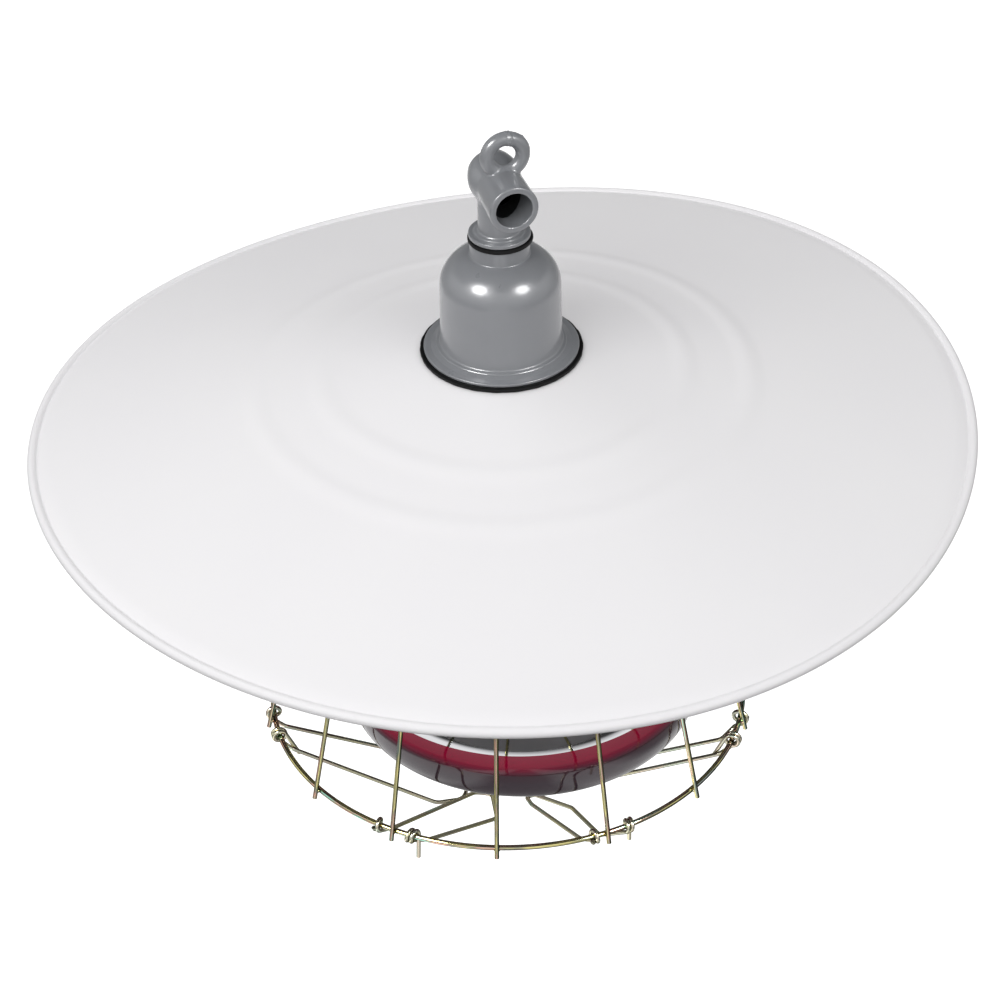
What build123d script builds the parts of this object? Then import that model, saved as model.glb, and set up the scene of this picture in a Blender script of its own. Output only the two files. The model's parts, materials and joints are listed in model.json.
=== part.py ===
from build123d import *
from math import asin, atan2, cos, radians, sin
import os

# A hanging infrared heat lamp: a shallow pressed shade under a moulded
# lampholder cap, a screwed-in cable head with a suspension eye, a red
# reflector bulb and a welded wire guard with hinged wire loops below it.
# Everything is modelled about the lamp's axis with z = 0 on the shade's seat,
# and written out with the suspension eye's centre as the origin.

# Shade, pressed from sheet and enamelled
shade_radius = 160.0
shade_drop = 29.2
shade_sheet = 0.7
shade_bead_radius = 1.7
shade_ridge_radii = (61.0, 83.0)
shade_ridge_width = 8.0
shade_ridge_height = 0.8

# Clearances
thread_clearance = 0.1
slip_clearance = 0.1
eyelet_clearance = 0.3
weld_gap = 0.05

# Bulb with an E27 screw cap
bulb_length = 173.0
bulb_radius = 62.5
bulb_widest_up = 20.0
bulb_shoulder_inset = 4.5
bulb_shoulder_up = 9.6
bulb_crown_radius = 38.8
bulb_crown_up = 2.0
bulb_silver_up = 27.6
bulb_silver_inset = 2.65
bulb_silver_flare = 0.795
bulb_bowl_radius = 47.0
bulb_bowl_up = 40.8
bulb_waist_radius = 27.0
bulb_waist_up = 69.0
bulb_neck_radius = 18.5
bulb_neck_length = 21.6
bulb_throat_radius = 16.5
bulb_throat_length = 7.0
bulb_seal_clearance = 0.45
bulb_seal_length = 9.0
bulb_glass = 1.2
screw_cap_radius = 13.1
screw_cap_sheet = 0.35
screw_cap_length = 21.0
screw_cap_below_tip = 6.0
insulator_top_radius = 5.0
bulb_tip_radius = 4.8
bulb_tip_height = 1.2
stem_clearance = 0.3
stem_radius = 3.5
stem_length = 42.0
stem_flare_height = 10.8
stem_button_radius = 4.5
stem_button_height = 3.0
lead_radius = 0.5
lead_spacing = 5.0
filament_radius = 14.0
filament_wire_radius = 0.6
filament_drop = 30.0

# Porcelain socket and its metalwork
shell_sheet = 0.55
shell_slack = 0.15
socket_wall = 2.5
socket_depth = 27.0
socket_floor = 6.0
socket_mouth_drop = 4.0
socket_chamfer = 2.7
contact_depth = 3.0
strip_sheet = 0.7
strip_width = 6.0
contact_strip_length = 13.4
contact_strip_reach = 2.6
contact_button_radius = 2.2
terminal_inset = 4.2
terminal_size = (5.0, 6.0, 4.2)
terminal_wire_radius = 0.9
terminal_wire_height = 2.3
terminal_screw_radius = 1.0
terminal_screw_head = (1.7, 0.9)
rivet_radius = 1.25
rivet_head = (2.2, 0.8)
rivet_reach = 1.0
fixing_inset = 3.2
fixing_radius = 1.5
fixing_head = (2.3, 1.5)
fixing_length = 10.0
fixing_boss_radius = 2.4

# Lampholder cap round the socket
socket_clearance = 0.4
cap_bell_clearance = 1.3
cap_wall = 2.2
cap_body_taper = 0.4
cap_foot_fillet = 1.2
cap_foot_height = 1.9
cap_flange_width = 4.3
cap_flange_edge = 0.85
cap_flange_bevel = 0.5
cap_shoulder_height = 23.7
cap_dome_height = 11.8
cap_neck_wall = 2.3
cap_neck_height = 4.8
cap_skirt_length = 12.0
cap_skirt_wall = 2.1
gasket_overhang = 1.25
gasket_thickness = 1.5
seat_margin = 0.95

# Cable head
head_washer_overhang = 0.4
head_washer_thickness = 1.8
head_flange_overhang = 0.35
head_flange_edge = 1.0
head_flange_bevel = 0.4
head_flange_rise = 2.2
head_stem_radius = 7.0
head_spigot_radius = 7.4
head_spigot_length = 6.6
head_passage_radius = 4.5
tube_height = 20.8
tube_wall = 1.6
tube_bore_radius = 6.0
tube_front = 18.9
tube_rear = 8.0
tube_end_wall = 2.2
tube_rear_fillet = 2.2
tube_mouth_fillet = 0.5
tube_turn = -73.0
eye_outer_radius = 8.5
eye_wire_radius = 2.3
eye_foot = 0.5
eye_forward = 5.9

# Clamping ring below the shade
clamp_washer_width = 8.0
clamp_washer_thickness = 1.2
nut_wall = 6.0
nut_height = 6.1
nut_grips = 12
nut_grip_radius = 1.6

# Wire guard round the bulb
guard_bulb_clearance = 22.3
guard_ring_wire = 1.8
guard_wire = 1.5
guard_ring_up = 7.5
guard_wires = 14
guard_first_angle = -92.0
guard_stub = 2.6
guard_hoop_radius = 53.5
guard_hoop_gap = 7.6
guard_top_stub = 3.6
guard_play = 3.1
guard_spoke_flat = 5.4
guard_spoke_bends = (6.0, 5.0)

# Hinged loops under the bulb
loop_wire = 1.4
loop_width = 10.8
loop_tip_radius = 14.0
loop_tip_radius_by_wire = {1: 23.0, 13: 8.6}
loop_pitch = 30.0
loop_pitch_by_wire = {1: 26.0}
loop_tip_width = 7.0
loop_tip_shift = -1.6
loop_long_taper = 16.0
loop_short_taper = 28.0
loop_tip_bend = 3.2
loop_leg_bend = 9.0
loop_eyelet_turn = 275.0

# Radii that follow from the screw cap and the bulb outwards
shell_inner_radius = screw_cap_radius + thread_clearance
socket_bore_radius = shell_inner_radius + shell_sheet + shell_slack
socket_radius = socket_bore_radius + socket_wall
terminal_offset = shell_inner_radius - terminal_inset
fixing_offset = shell_inner_radius - fixing_inset
cap_skirt_inner = socket_radius + socket_clearance
cap_skirt_radius = cap_skirt_inner + cap_skirt_wall
cap_inner_radius = socket_radius + cap_bell_clearance
cap_shoulder_radius = cap_inner_radius + cap_wall
cap_body_radius = cap_shoulder_radius + cap_body_taper
cap_foot_radius = cap_body_radius + cap_foot_fillet
cap_flange_radius = cap_foot_radius + cap_flange_width
cap_bore_radius = head_spigot_radius + thread_clearance
cap_neck_radius = cap_bore_radius + cap_neck_wall
skirt_hole_radius = cap_skirt_radius + thread_clearance
gasket_radius = cap_flange_radius + gasket_overhang
shade_seat_radius = gasket_radius + seat_margin
head_washer_radius = cap_neck_radius + head_washer_overhang
head_flange_radius = cap_neck_radius + head_flange_overhang
tube_outer_radius = tube_bore_radius + tube_wall
clamp_washer_radius = skirt_hole_radius + clamp_washer_width
nut_radius = skirt_hole_radius + nut_wall
bulb_seal_radius = screw_cap_radius - screw_cap_sheet - bulb_seal_clearance
bulb_silver_radius = bulb_radius - bulb_silver_inset
bulb_shoulder_radius = bulb_radius - bulb_shoulder_inset
guard_ring_radius = bulb_radius + guard_bulb_clearance
guard_inner_radius = cap_skirt_radius + guard_play + guard_wire / 2

# Levels above the shade's seat
shade_slope = shade_drop / (shade_radius - shade_bead_radius - shade_seat_radius)
cap_base = gasket_thickness
cap_foot_top = cap_base + cap_foot_height
cap_shoulder = cap_base + cap_shoulder_height
cap_neck_base = cap_shoulder + cap_dome_height
cap_top = cap_neck_base + cap_neck_height
washer_top = cap_top + head_washer_thickness
spigot_bottom = cap_top - head_spigot_length
tube_axis = washer_top + tube_height
eye_hole_radius = eye_outer_radius - 2 * eye_wire_radius
eye_centre_z = tube_axis + tube_outer_radius + eye_foot + eye_hole_radius
socket_mouth = -socket_mouth_drop
socket_ceiling = socket_mouth + socket_depth
socket_top = socket_ceiling + socket_floor
clamp_washer_bottom = -shade_sheet - clamp_washer_thickness
guard_inner_z = clamp_washer_bottom - guard_wire / 2
nut_top = clamp_washer_bottom - guard_wire
bulb_tip = socket_ceiling - contact_depth
bulb_bottom = bulb_tip - bulb_length
bulb_widest = bulb_bottom + bulb_widest_up
bulb_silver = bulb_bottom + bulb_silver_up
screw_cap_top = bulb_tip - screw_cap_below_tip
screw_cap_bottom = screw_cap_top - screw_cap_length
stem_top = screw_cap_bottom + bulb_seal_length / 2
stem_bottom = stem_top - stem_length
filament_z = stem_bottom - filament_drop
guard_ring_z = bulb_bottom + guard_ring_up
guard_hoop_z = (shade_seat_radius - guard_hoop_radius) * shade_slope - shade_sheet - guard_hoop_gap

eye_x = eye_forward * cos(radians(tube_turn))
eye_y = eye_forward * sin(radians(tube_turn))
TO_EYE_FRAME = Pos(-eye_x, -eye_y, -eye_centre_z)
STANDING = (Align.CENTER, Align.CENTER, Align.MIN)


def save(name, shape):
    """Write one sub-part, moved so that the suspension eye is the origin."""
    export_step(TO_EYE_FRAME * shape, f"parts/{name}.step")


def turned(*outline):
    """A solid of revolution about the axis from a closed (radius, z) outline."""
    face = Plane.XZ * make_face(Polyline(*outline, close=True))
    return revolve(face, Axis.Z)


def turned_curve(*edges):
    """A solid of revolution about the axis from edges drawn as (radius, z)."""
    face = Plane.XZ * make_face(list(edges))
    return revolve(face, Axis.Z)


def tube(outer, inner, bottom, top):
    """A plain upright ring or sleeve."""
    return turned((inner, bottom), (outer, bottom), (outer, top), (inner, top))


def rod(start, end, radius):
    """A straight round wire between two points."""
    path = Line(start, end)
    return sweep(Plane(path @ 0, z_dir=path % 0) * Circle(radius), path)


def drill(x, y, radius, bottom, top):
    """An upright cylinder used as a hole, pin or screw shank."""
    return Pos(x, y, bottom) * Cylinder(radius, top - bottom, align=STANDING)


def block(x, y, z, size):
    """A box centred in plan that stands on z."""
    return Pos(x, y, z) * Box(*size, align=STANDING)


# Shade
def shade_z(radius):
    """Height of the sheet's upper face at a radius."""
    return -max(0.0, radius - shade_seat_radius) * shade_slope


def shade_face_line(lower):
    """One face of the sheet from the hole to the bead, with its pressed ridges."""
    start = (shade_seat_radius, -lower)
    edges = [Line((skirt_hole_radius, -lower), start)]
    for centre in shade_ridge_radii:
        first = centre - shade_ridge_width / 2
        last = centre + shade_ridge_width / 2
        foot = (first, shade_z(first) - lower)
        crest = (centre, shade_z(centre) + shade_ridge_height - lower)
        heel = (last, shade_z(last) - lower)
        edges += [Line(start, foot), ThreePointArc(foot, crest, heel)]
        start = heel
    edge = shade_radius - shade_bead_radius
    edges.append(Line(start, (edge, shade_z(edge) - lower)))
    return edges


def make_shade():
    upper = shade_face_line(0)
    lower = shade_face_line(shade_sheet)
    inner = Line(upper[0] @ 0, lower[0] @ 0)
    outer = Line(upper[-1] @ 1, lower[-1] @ 1)
    sheet = turned_curve(*upper, *lower, inner, outer)
    bead = Torus(shade_radius - shade_bead_radius, shade_bead_radius)
    return sheet + Pos(0, 0, -shade_drop - shade_sheet / 2) * bead


# Lampholder cap
def dome_edge(wall_radius, inner_radius):
    """The arc from the top of a wall, tangent to it, in to a smaller radius."""
    overhang = cap_shoulder_radius - cap_neck_radius
    outer_curve = (overhang ** 2 + cap_dome_height ** 2) / (2 * overhang)
    centre = cap_shoulder_radius - outer_curve
    curve = wall_radius - centre
    rise = (curve ** 2 - (inner_radius - centre) ** 2) ** 0.5
    half = atan2(rise, inner_radius - centre) / 2
    middle = (centre + curve * cos(half), cap_shoulder + curve * sin(half))
    end = (inner_radius, cap_shoulder + rise)
    return ThreePointArc((wall_radius, cap_shoulder), middle, end)


def make_cap():
    outside = dome_edge(cap_shoulder_radius, cap_neck_radius)
    inside = dome_edge(cap_inner_radius, cap_bore_radius)
    flange_top = cap_base + cap_flange_edge
    lower = Polyline(
        inside @ 0,
        (cap_inner_radius, cap_foot_top),
        (cap_skirt_inner, cap_base),
        (cap_skirt_inner, -cap_skirt_length),
        (cap_skirt_radius, -cap_skirt_length),
        (cap_skirt_radius, cap_base),
        (cap_flange_radius, cap_base),
        (cap_flange_radius, flange_top - cap_flange_bevel),
        (cap_flange_radius - cap_flange_bevel, flange_top),
        (cap_foot_radius, cap_foot_top),
        (cap_body_radius, cap_foot_top + cap_foot_fillet),
        outside @ 0,
    )
    upper = Polyline(
        outside @ 1,
        (cap_neck_radius, cap_top),
        (cap_bore_radius, cap_top),
        inside @ 1,
    )
    cap = turned_curve(*lower.edges(), outside, *upper.edges(), inside)
    boss_top = cap_neck_base - cap_wall / 2
    hole_top = socket_ceiling + fixing_length + slip_clearance
    for side in (-1, 1):
        y = side * fixing_offset
        cap += drill(0, y, fixing_boss_radius, socket_top, boss_top)
        cap -= drill(0, y, fixing_radius + slip_clearance, socket_top, hole_top)
    return cap - drill(0, 0, cap_bore_radius, spigot_bottom - slip_clearance, cap_top)


def make_gasket():
    return tube(gasket_radius, skirt_hole_radius, 0, gasket_thickness)


# Cable head
def make_head():
    edge_top = washer_top + head_flange_edge
    body = turned(
        (0, spigot_bottom),
        (head_spigot_radius, spigot_bottom),
        (head_spigot_radius, washer_top),
        (head_flange_radius, washer_top),
        (head_flange_radius, edge_top),
        (head_flange_radius - head_flange_bevel, edge_top + head_flange_bevel),
        (head_stem_radius, washer_top + head_flange_rise),
        (head_stem_radius, tube_axis),
        (0, tube_axis),
    )
    along = Pos(-tube_rear, 0, tube_axis) * Rot(0, 90, 0)
    barrel = Cylinder(tube_outer_radius, tube_front + tube_rear, align=STANDING)
    barrel = fillet(barrel.edges().sort_by(Axis.Z)[0], tube_rear_fillet)
    barrel = fillet(barrel.edges().sort_by(Axis.Z)[-1], tube_mouth_fillet)
    eye = Torus(eye_outer_radius - eye_wire_radius, eye_wire_radius)
    body += along * barrel
    body += Pos(eye_forward, 0, eye_centre_z) * Rot(0, 90, 0) * eye
    bore_length = tube_front + tube_rear - tube_end_wall
    bore = Pos(tube_end_wall - tube_rear, 0, tube_axis) * Rot(0, 90, 0)
    body -= bore * Cylinder(tube_bore_radius, bore_length, align=STANDING)
    body -= drill(0, 0, head_passage_radius, 0, tube_axis)
    return Rot(0, 0, tube_turn) * body


def make_head_washer():
    return tube(head_washer_radius, head_spigot_radius + slip_clearance, cap_top, washer_top)


# Socket
def make_socket_body():
    body = turned(
        (0, socket_ceiling),
        (socket_bore_radius, socket_ceiling),
        (socket_bore_radius, socket_mouth),
        (socket_radius, socket_mouth),
        (socket_radius, socket_top - socket_chamfer),
        (socket_radius - socket_chamfer, socket_top),
        (0, socket_top),
    )
    for side in (-1, 1):
        rivet_hole = rivet_radius + slip_clearance
        screw_hole = fixing_radius + slip_clearance
        body -= drill(side * terminal_offset, 0, rivet_hole, socket_ceiling, socket_top)
        body -= drill(0, side * fixing_offset, screw_hole, socket_ceiling, socket_top)
    return body


def strip_hole(x):
    """The hole for a terminal rivet through a contact strip."""
    return drill(x, 0, rivet_radius + slip_clearance, 0, socket_ceiling)


def make_socket_shell():
    outer = shell_inner_radius + shell_sheet
    top = socket_ceiling - slip_clearance
    shell = tube(outer, shell_inner_radius, socket_mouth + shell_sheet, top)
    tab_inner = terminal_offset - strip_width / 2
    tab_length = shell_inner_radius + shell_sheet / 2 - tab_inner
    tab_centre = tab_inner + tab_length / 2
    shell += block(tab_centre, 0, top - strip_sheet, (tab_length, strip_width, strip_sheet))
    return shell - strip_hole(terminal_offset)


def make_centre_contact():
    top = socket_ceiling - slip_clearance
    centre = contact_strip_reach - contact_strip_length / 2
    size = (contact_strip_length, strip_width, strip_sheet)
    strip = block(centre, 0, top - strip_sheet, size)
    strip += drill(0, 0, contact_button_radius, bulb_tip + slip_clearance, top - strip_sheet)
    return strip - strip_hole(-terminal_offset)


def make_terminal_block(side):
    x = side * terminal_offset
    shape = block(x, 0, socket_top, terminal_size)
    top = socket_top + terminal_size[2]
    wire_z = socket_top + terminal_wire_height
    wire_hole = Cylinder(terminal_wire_radius, terminal_size[1], rotation=(90, 0, 0))
    rivet_top = socket_top + rivet_reach + slip_clearance
    shape -= Pos(x, 0, wire_z) * wire_hole
    shape -= drill(x, 0, rivet_radius + slip_clearance, socket_top, rivet_top)
    return shape - drill(x, 0, terminal_screw_radius + slip_clearance, wire_z, top)


def make_terminal_screw(side):
    x = side * terminal_offset
    top = socket_top + terminal_size[2]
    wire_top = socket_top + terminal_wire_height + terminal_wire_radius
    radius, height = terminal_screw_head
    return drill(x, 0, terminal_screw_radius, wire_top, top) + drill(x, 0, radius, top, top + height)


def make_terminal_rivet(side):
    x = side * terminal_offset
    head_top = socket_ceiling - slip_clearance - strip_sheet
    radius, height = rivet_head
    shank = drill(x, 0, rivet_radius, head_top, socket_top + rivet_reach)
    return shank + drill(x, 0, radius, head_top - height, head_top)


def make_socket_screw(side):
    y = side * fixing_offset
    radius, height = fixing_head
    shank = drill(0, y, fixing_radius, socket_ceiling, socket_ceiling + fixing_length)
    return shank + drill(0, y, radius, socket_ceiling - height, socket_ceiling)


# Clamping ring below the shade
def make_clamp_washer():
    return tube(clamp_washer_radius, skirt_hole_radius, clamp_washer_bottom, -shade_sheet)


def make_ring_nut():
    nut = tube(nut_radius, skirt_hole_radius, nut_top - nut_height, nut_top)
    for step in range(nut_grips):
        angle = radians(360 / nut_grips * step)
        x = nut_radius * cos(angle)
        y = nut_radius * sin(angle)
        nut -= drill(x, y, nut_grip_radius, nut_top - nut_height, nut_top)
    return nut


# Bulb
def neck_points(inset):
    """Points of the bulb's flowing outline, from the throat to the silver's edge."""
    throat_z = screw_cap_bottom - bulb_throat_length
    return [
        (bulb_throat_radius - inset, throat_z),
        (bulb_neck_radius - inset, throat_z - bulb_neck_length),
        (bulb_waist_radius - inset, bulb_bottom + bulb_waist_up),
        (bulb_bowl_radius - inset, bulb_bottom + bulb_bowl_up),
        (bulb_silver_radius - inset, bulb_silver),
    ]


def make_reflector():
    seal_top = screw_cap_bottom + bulb_seal_length
    outer = neck_points(0)
    inner = neck_points(bulb_glass)
    seal_inner = bulb_seal_radius - bulb_glass
    flow = ((0, -1), (bulb_silver_flare, -1))
    edges = [
        Line((seal_inner, seal_top), (bulb_seal_radius, seal_top)),
        Line((bulb_seal_radius, seal_top), (bulb_seal_radius, screw_cap_bottom)),
        Line((bulb_seal_radius, screw_cap_bottom), outer[0]),
        Spline(*outer, tangents=flow),
        Line(outer[-1], inner[-1]),
        Spline(*inner, tangents=flow),
        Line(inner[0], (seal_inner, screw_cap_bottom)),
        Line((seal_inner, screw_cap_bottom), (seal_inner, seal_top)),
    ]
    return turned_curve(*edges)


def front_line(inset):
    """The bulb's front from the silver's edge round to the crown on the axis."""
    points = [
        (bulb_silver_radius - inset, bulb_silver),
        (bulb_radius - inset, bulb_widest),
        (bulb_shoulder_radius - inset, bulb_bottom + bulb_shoulder_up),
        (bulb_crown_radius, bulb_bottom + bulb_crown_up + inset),
        (0, bulb_bottom + inset),
    ]
    return Spline(*points, tangents=((bulb_silver_flare, -1), (-1, 0)))


def make_front():
    outer = front_line(0)
    inner = front_line(bulb_glass)
    rim = Line(outer @ 0, inner @ 0)
    axis = Line(outer @ 1, inner @ 1)
    return turned_curve(outer, inner, rim, axis)


def make_screw_cap():
    inner = screw_cap_radius - screw_cap_sheet
    return tube(screw_cap_radius, inner, screw_cap_bottom, screw_cap_top)


def make_insulator():
    inner = screw_cap_radius - screw_cap_sheet - slip_clearance
    foot = screw_cap_top - bulb_tip_height
    return turned(
        (0, foot),
        (inner, foot),
        (inner, screw_cap_top),
        (insulator_top_radius, bulb_tip - bulb_tip_height),
        (0, bulb_tip - bulb_tip_height),
    )


def make_bulb_contact():
    return drill(0, 0, bulb_tip_radius, bulb_tip - bulb_tip_height, bulb_tip)


def make_stem():
    flare_radius = bulb_seal_radius - bulb_glass - stem_clearance
    return turned(
        (0, stem_top),
        (flare_radius, stem_top),
        (flare_radius, stem_top - stem_button_height),
        (stem_radius, stem_top - stem_flare_height),
        (stem_radius, stem_bottom + stem_button_height),
        (stem_button_radius, stem_bottom + stem_button_height),
        (stem_button_radius, stem_bottom),
        (0, stem_bottom),
    )


def make_hanging_wire(angle):
    """A wire from the stem's button down and out to the filament."""
    start_z = stem_bottom - slip_clearance - lead_radius / 2
    end_z = filament_z + filament_wire_radius + slip_clearance + lead_radius / 2
    wire = rod((lead_spacing / 2, 0, start_z), (filament_radius, 0, end_z), lead_radius)
    return Rot(0, 0, angle) * wire


def make_filament():
    start = (filament_radius, 0, filament_z)
    middle = (0, filament_radius, filament_z)
    end = (-filament_radius, 0, filament_z)
    path = ThreePointArc(start, middle, end)
    return sweep(Plane(start, z_dir=path % 0) * Circle(filament_wire_radius), path)


# Guard
def guard_angle(index):
    return guard_first_angle + 360 / guard_wires * index


def guard_lean():
    """Outward travel of an upright wire per millimetre that it goes down."""
    gain = guard_ring_radius + guard_ring_wire / 2 - guard_hoop_radius - guard_wire / 2
    return gain / (guard_hoop_z - guard_ring_z)


def upright_point(z):
    """Centre of an upright wire at a level, welded outside the ring and the hoop."""
    stretch = (1 + guard_lean() ** 2) ** 0.5
    at_ring = guard_ring_radius + guard_ring_wire / 2 + guard_wire / 2 * stretch + weld_gap
    return (at_ring - (z - guard_ring_z) * guard_lean(), 0, z)


def make_short_wire(index):
    wire = rod(
        upright_point(guard_hoop_z + guard_top_stub),
        upright_point(guard_ring_z - guard_stub),
        guard_wire / 2,
    )
    return Rot(0, 0, guard_angle(index)) * wire


def make_long_wire(index):
    start = (guard_inner_radius + guard_wire / 2 + weld_gap, 0, guard_inner_z)
    level = (start[0] + guard_spoke_flat, 0, guard_inner_z)
    bend = upright_point(guard_hoop_z + guard_top_stub)
    foot = upright_point(guard_ring_z - guard_stub)
    path = FilletPolyline(start, level, bend, foot, radius=list(guard_spoke_bends))
    wire = sweep(Plane(path @ 0, z_dir=path % 0) * Circle(guard_wire / 2), path)
    return Rot(0, 0, guard_angle(index)) * wire


def make_guard_hoop(radius, wire, z):
    return Pos(0, 0, z) * Torus(radius, wire / 2)


# Hinged loops
def loop_chord():
    """Distance of a loop's hinge from the axis."""
    return guard_ring_radius * cos(asin(loop_width / 2 / guard_ring_radius))


def loop_place(index):
    """Frame of a loop: X along its hinge, Y in to the axis, Z up."""
    turn = Rot(0, 0, guard_angle(index))
    return turn * Pos(loop_chord(), 0, guard_ring_z) * Rot(0, 0, 90)


def loop_slope(index):
    """Downward slope of a loop at rest, in radians."""
    return radians(loop_pitch_by_wire.get(index, loop_pitch))


def eyelet_radius():
    return guard_ring_wire / 2 + eyelet_clearance + loop_wire / 2


def eyelet_arc(x, slope):
    """The wire's wrap round the ring, ending where the leg leaves below it."""

    def point(turn):
        across = sin(radians(turn)) * eyelet_radius()
        down = cos(radians(turn)) * eyelet_radius()
        y = -down * sin(slope) - across * cos(slope)
        z = -down * cos(slope) + across * sin(slope)
        return (x, y, z)

    return ThreePointArc(point(0), point(loop_eyelet_turn / 2), point(loop_eyelet_turn))


def make_loop(index):
    slope = loop_slope(index)
    tip_radius = loop_tip_radius_by_wire.get(index, loop_tip_radius)
    length = (loop_chord() - tip_radius) / cos(slope)
    half = loop_width / 2
    tip_left = loop_tip_shift - loop_tip_width / 2
    tip_right = loop_tip_shift + loop_tip_width / 2
    drop = eyelet_radius()
    leaf = Plane(
        origin=(0, -drop * sin(slope), -drop * cos(slope)),
        x_dir=(1, 0, 0),
        z_dir=(0, sin(slope), cos(slope)),
    )
    outline = FilletPolyline(
        (-half, 0),
        (-half, length - loop_long_taper),
        (tip_left, length),
        (tip_right, length),
        (half, length - loop_short_taper),
        (half, 0),
        radius=[loop_leg_bend, loop_tip_bend, loop_tip_bend, loop_leg_bend],
    )
    legs = leaf * outline
    path = Wire([eyelet_arc(-half, slope), *legs.edges(), eyelet_arc(half, slope)])
    wire = sweep(Plane(path @ 0, z_dir=path % 0) * Circle(loop_wire / 2), path)
    return loop_place(index) * wire


def both_sides(make):
    """The two mirrored solids of a small fitting, kept apart in one node."""
    return Compound(children=[make(-1), make(1)])


os.makedirs("parts", exist_ok=True)
save("cable_head", make_head())
save("head_washer", make_head_washer())
save("holder_cap", make_cap())
save("cap_gasket", make_gasket())
save("shade", make_shade())
save("clamp_washer", make_clamp_washer())
save("ring_nut", make_ring_nut())
save("socket_body", make_socket_body())
save("socket_shell", make_socket_shell())
save("centre_contact", make_centre_contact())
save("terminal_blocks", both_sides(make_terminal_block))
save("terminal_screws", both_sides(make_terminal_screw))
save("terminal_rivets", both_sides(make_terminal_rivet))
save("socket_screws", both_sides(make_socket_screw))
save("bulb_screw_cap", make_screw_cap())
save("bulb_insulator", make_insulator())
save("bulb_contact", make_bulb_contact())
save("bulb_reflector", make_reflector())
save("bulb_front", make_front())
save("bulb_stem", make_stem())
save("lead_wires", Compound(children=[make_hanging_wire(0), make_hanging_wire(180)]))
save("filament_support", make_hanging_wire(90))
save("filament", make_filament())
save("guard_ring", make_guard_hoop(guard_ring_radius, guard_ring_wire, guard_ring_z))
save("guard_hoop", make_guard_hoop(guard_hoop_radius, guard_wire, guard_hoop_z))
save("guard_inner_hoop", make_guard_hoop(guard_inner_radius, guard_wire, guard_inner_z))
for wire_index in range(guard_wires):
    number = wire_index // 2 + 1
    if wire_index % 2:
        save(f"guard_long_wire_{number}", make_long_wire(wire_index))
        save(f"guard_loop_{number}", make_loop(wire_index))
    else:
        save(f"guard_short_wire_{number}", make_short_wire(wire_index))
print("hinge of each loop, from the eye:")
for wire_index in range(1, guard_wires, 2):
    hinge = TO_EYE_FRAME * loop_place(wire_index)
    print(wire_index // 2 + 1, hinge.position, guard_angle(wire_index))
print("lamp axis, from the eye:", -eye_x, -eye_y)
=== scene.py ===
"""The finished surfaces of a hanging heat lamp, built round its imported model."""

import json
from math import atan2, cos, hypot, pi, radians, sin, sqrt, tan, tau

import bmesh
import bpy
import numpy as np
import openvdb
from mathutils import Matrix, Vector
from mathutils.geometry import interpolate_bezier

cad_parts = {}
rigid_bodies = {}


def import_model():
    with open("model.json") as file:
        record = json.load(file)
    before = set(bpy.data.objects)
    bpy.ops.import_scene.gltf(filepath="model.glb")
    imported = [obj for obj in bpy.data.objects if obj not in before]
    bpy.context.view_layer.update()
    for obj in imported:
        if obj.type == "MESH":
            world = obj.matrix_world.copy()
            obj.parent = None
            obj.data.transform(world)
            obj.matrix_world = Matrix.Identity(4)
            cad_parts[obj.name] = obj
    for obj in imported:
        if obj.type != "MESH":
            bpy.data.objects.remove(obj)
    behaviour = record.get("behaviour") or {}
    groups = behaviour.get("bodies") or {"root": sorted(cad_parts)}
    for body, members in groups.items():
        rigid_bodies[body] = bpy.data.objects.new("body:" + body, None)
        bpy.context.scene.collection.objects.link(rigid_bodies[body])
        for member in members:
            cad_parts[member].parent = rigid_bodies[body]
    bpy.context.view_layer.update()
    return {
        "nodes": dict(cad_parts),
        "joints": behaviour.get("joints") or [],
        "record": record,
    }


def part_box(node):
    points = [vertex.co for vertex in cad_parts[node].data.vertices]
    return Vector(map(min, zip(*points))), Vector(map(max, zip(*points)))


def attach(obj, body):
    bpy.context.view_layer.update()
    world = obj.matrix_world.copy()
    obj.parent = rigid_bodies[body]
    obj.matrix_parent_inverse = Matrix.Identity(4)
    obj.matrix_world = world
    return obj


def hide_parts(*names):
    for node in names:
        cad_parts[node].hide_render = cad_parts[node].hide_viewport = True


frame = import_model()

bl_info = {
    "name": "Heat lamp",
    "version": (1, 0, 0),
    "blender": (4, 5, 0),
    "location": "3D View > Sidebar > Heat lamp",
    "description": "Builds the finished surfaces of a hanging heat lamp round its packed model",
    "category": "Add Mesh",
}

MM = 0.001
RGBA = {"data_type": "RGBA"}

# Pieces are drawn in millimetres from the point where the lamp's axis meets the shade's seat
GASKET_LOW, GASKET_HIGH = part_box("cap_gasket")
SEAT = (GASKET_LOW + GASKET_HIGH) / 2
SEAT.z = GASKET_LOW.z


def reach(part):
    """Radius of a part turned about the lamp's axis, in millimetres."""
    low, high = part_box(part)
    return (high.x - low.x) / 2 / MM


def bottom(part):
    """Lowest level of a part above the seat, in millimetres."""
    return (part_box(part)[0].z - SEAT.z) / MM


def top(part):
    """Highest level of a part above the seat, in millimetres."""
    return (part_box(part)[1].z - SEAT.z) / MM


def linear(code):
    """Linear colour of an sRGB hex value."""
    shares = [int(code[i:i + 2], 16) / 255 for i in (0, 2, 4)]
    return tuple(v / 12.92 if v <= 0.04045 else ((v + 0.055) / 1.055) ** 2.4 for v in shares)


def opaque(tone, share=1.0):
    """A hex value or a linear colour, darkened to a share, with full alpha."""
    parts = linear(tone) if isinstance(tone, str) else tone
    return (*(v * share for v in parts), 1)


def size(name, text, default, low=0.0):
    """A length in millimetres that a user may change."""
    return bpy.props.FloatProperty(name=name, description=text, default=default, min=low)


def colour(name, text, code):
    """A surface colour that a user may change."""
    return bpy.props.FloatVectorProperty(
        name=name, description=text, subtype="COLOR", size=3, min=0, max=1, default=linear(code)
    )


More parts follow.
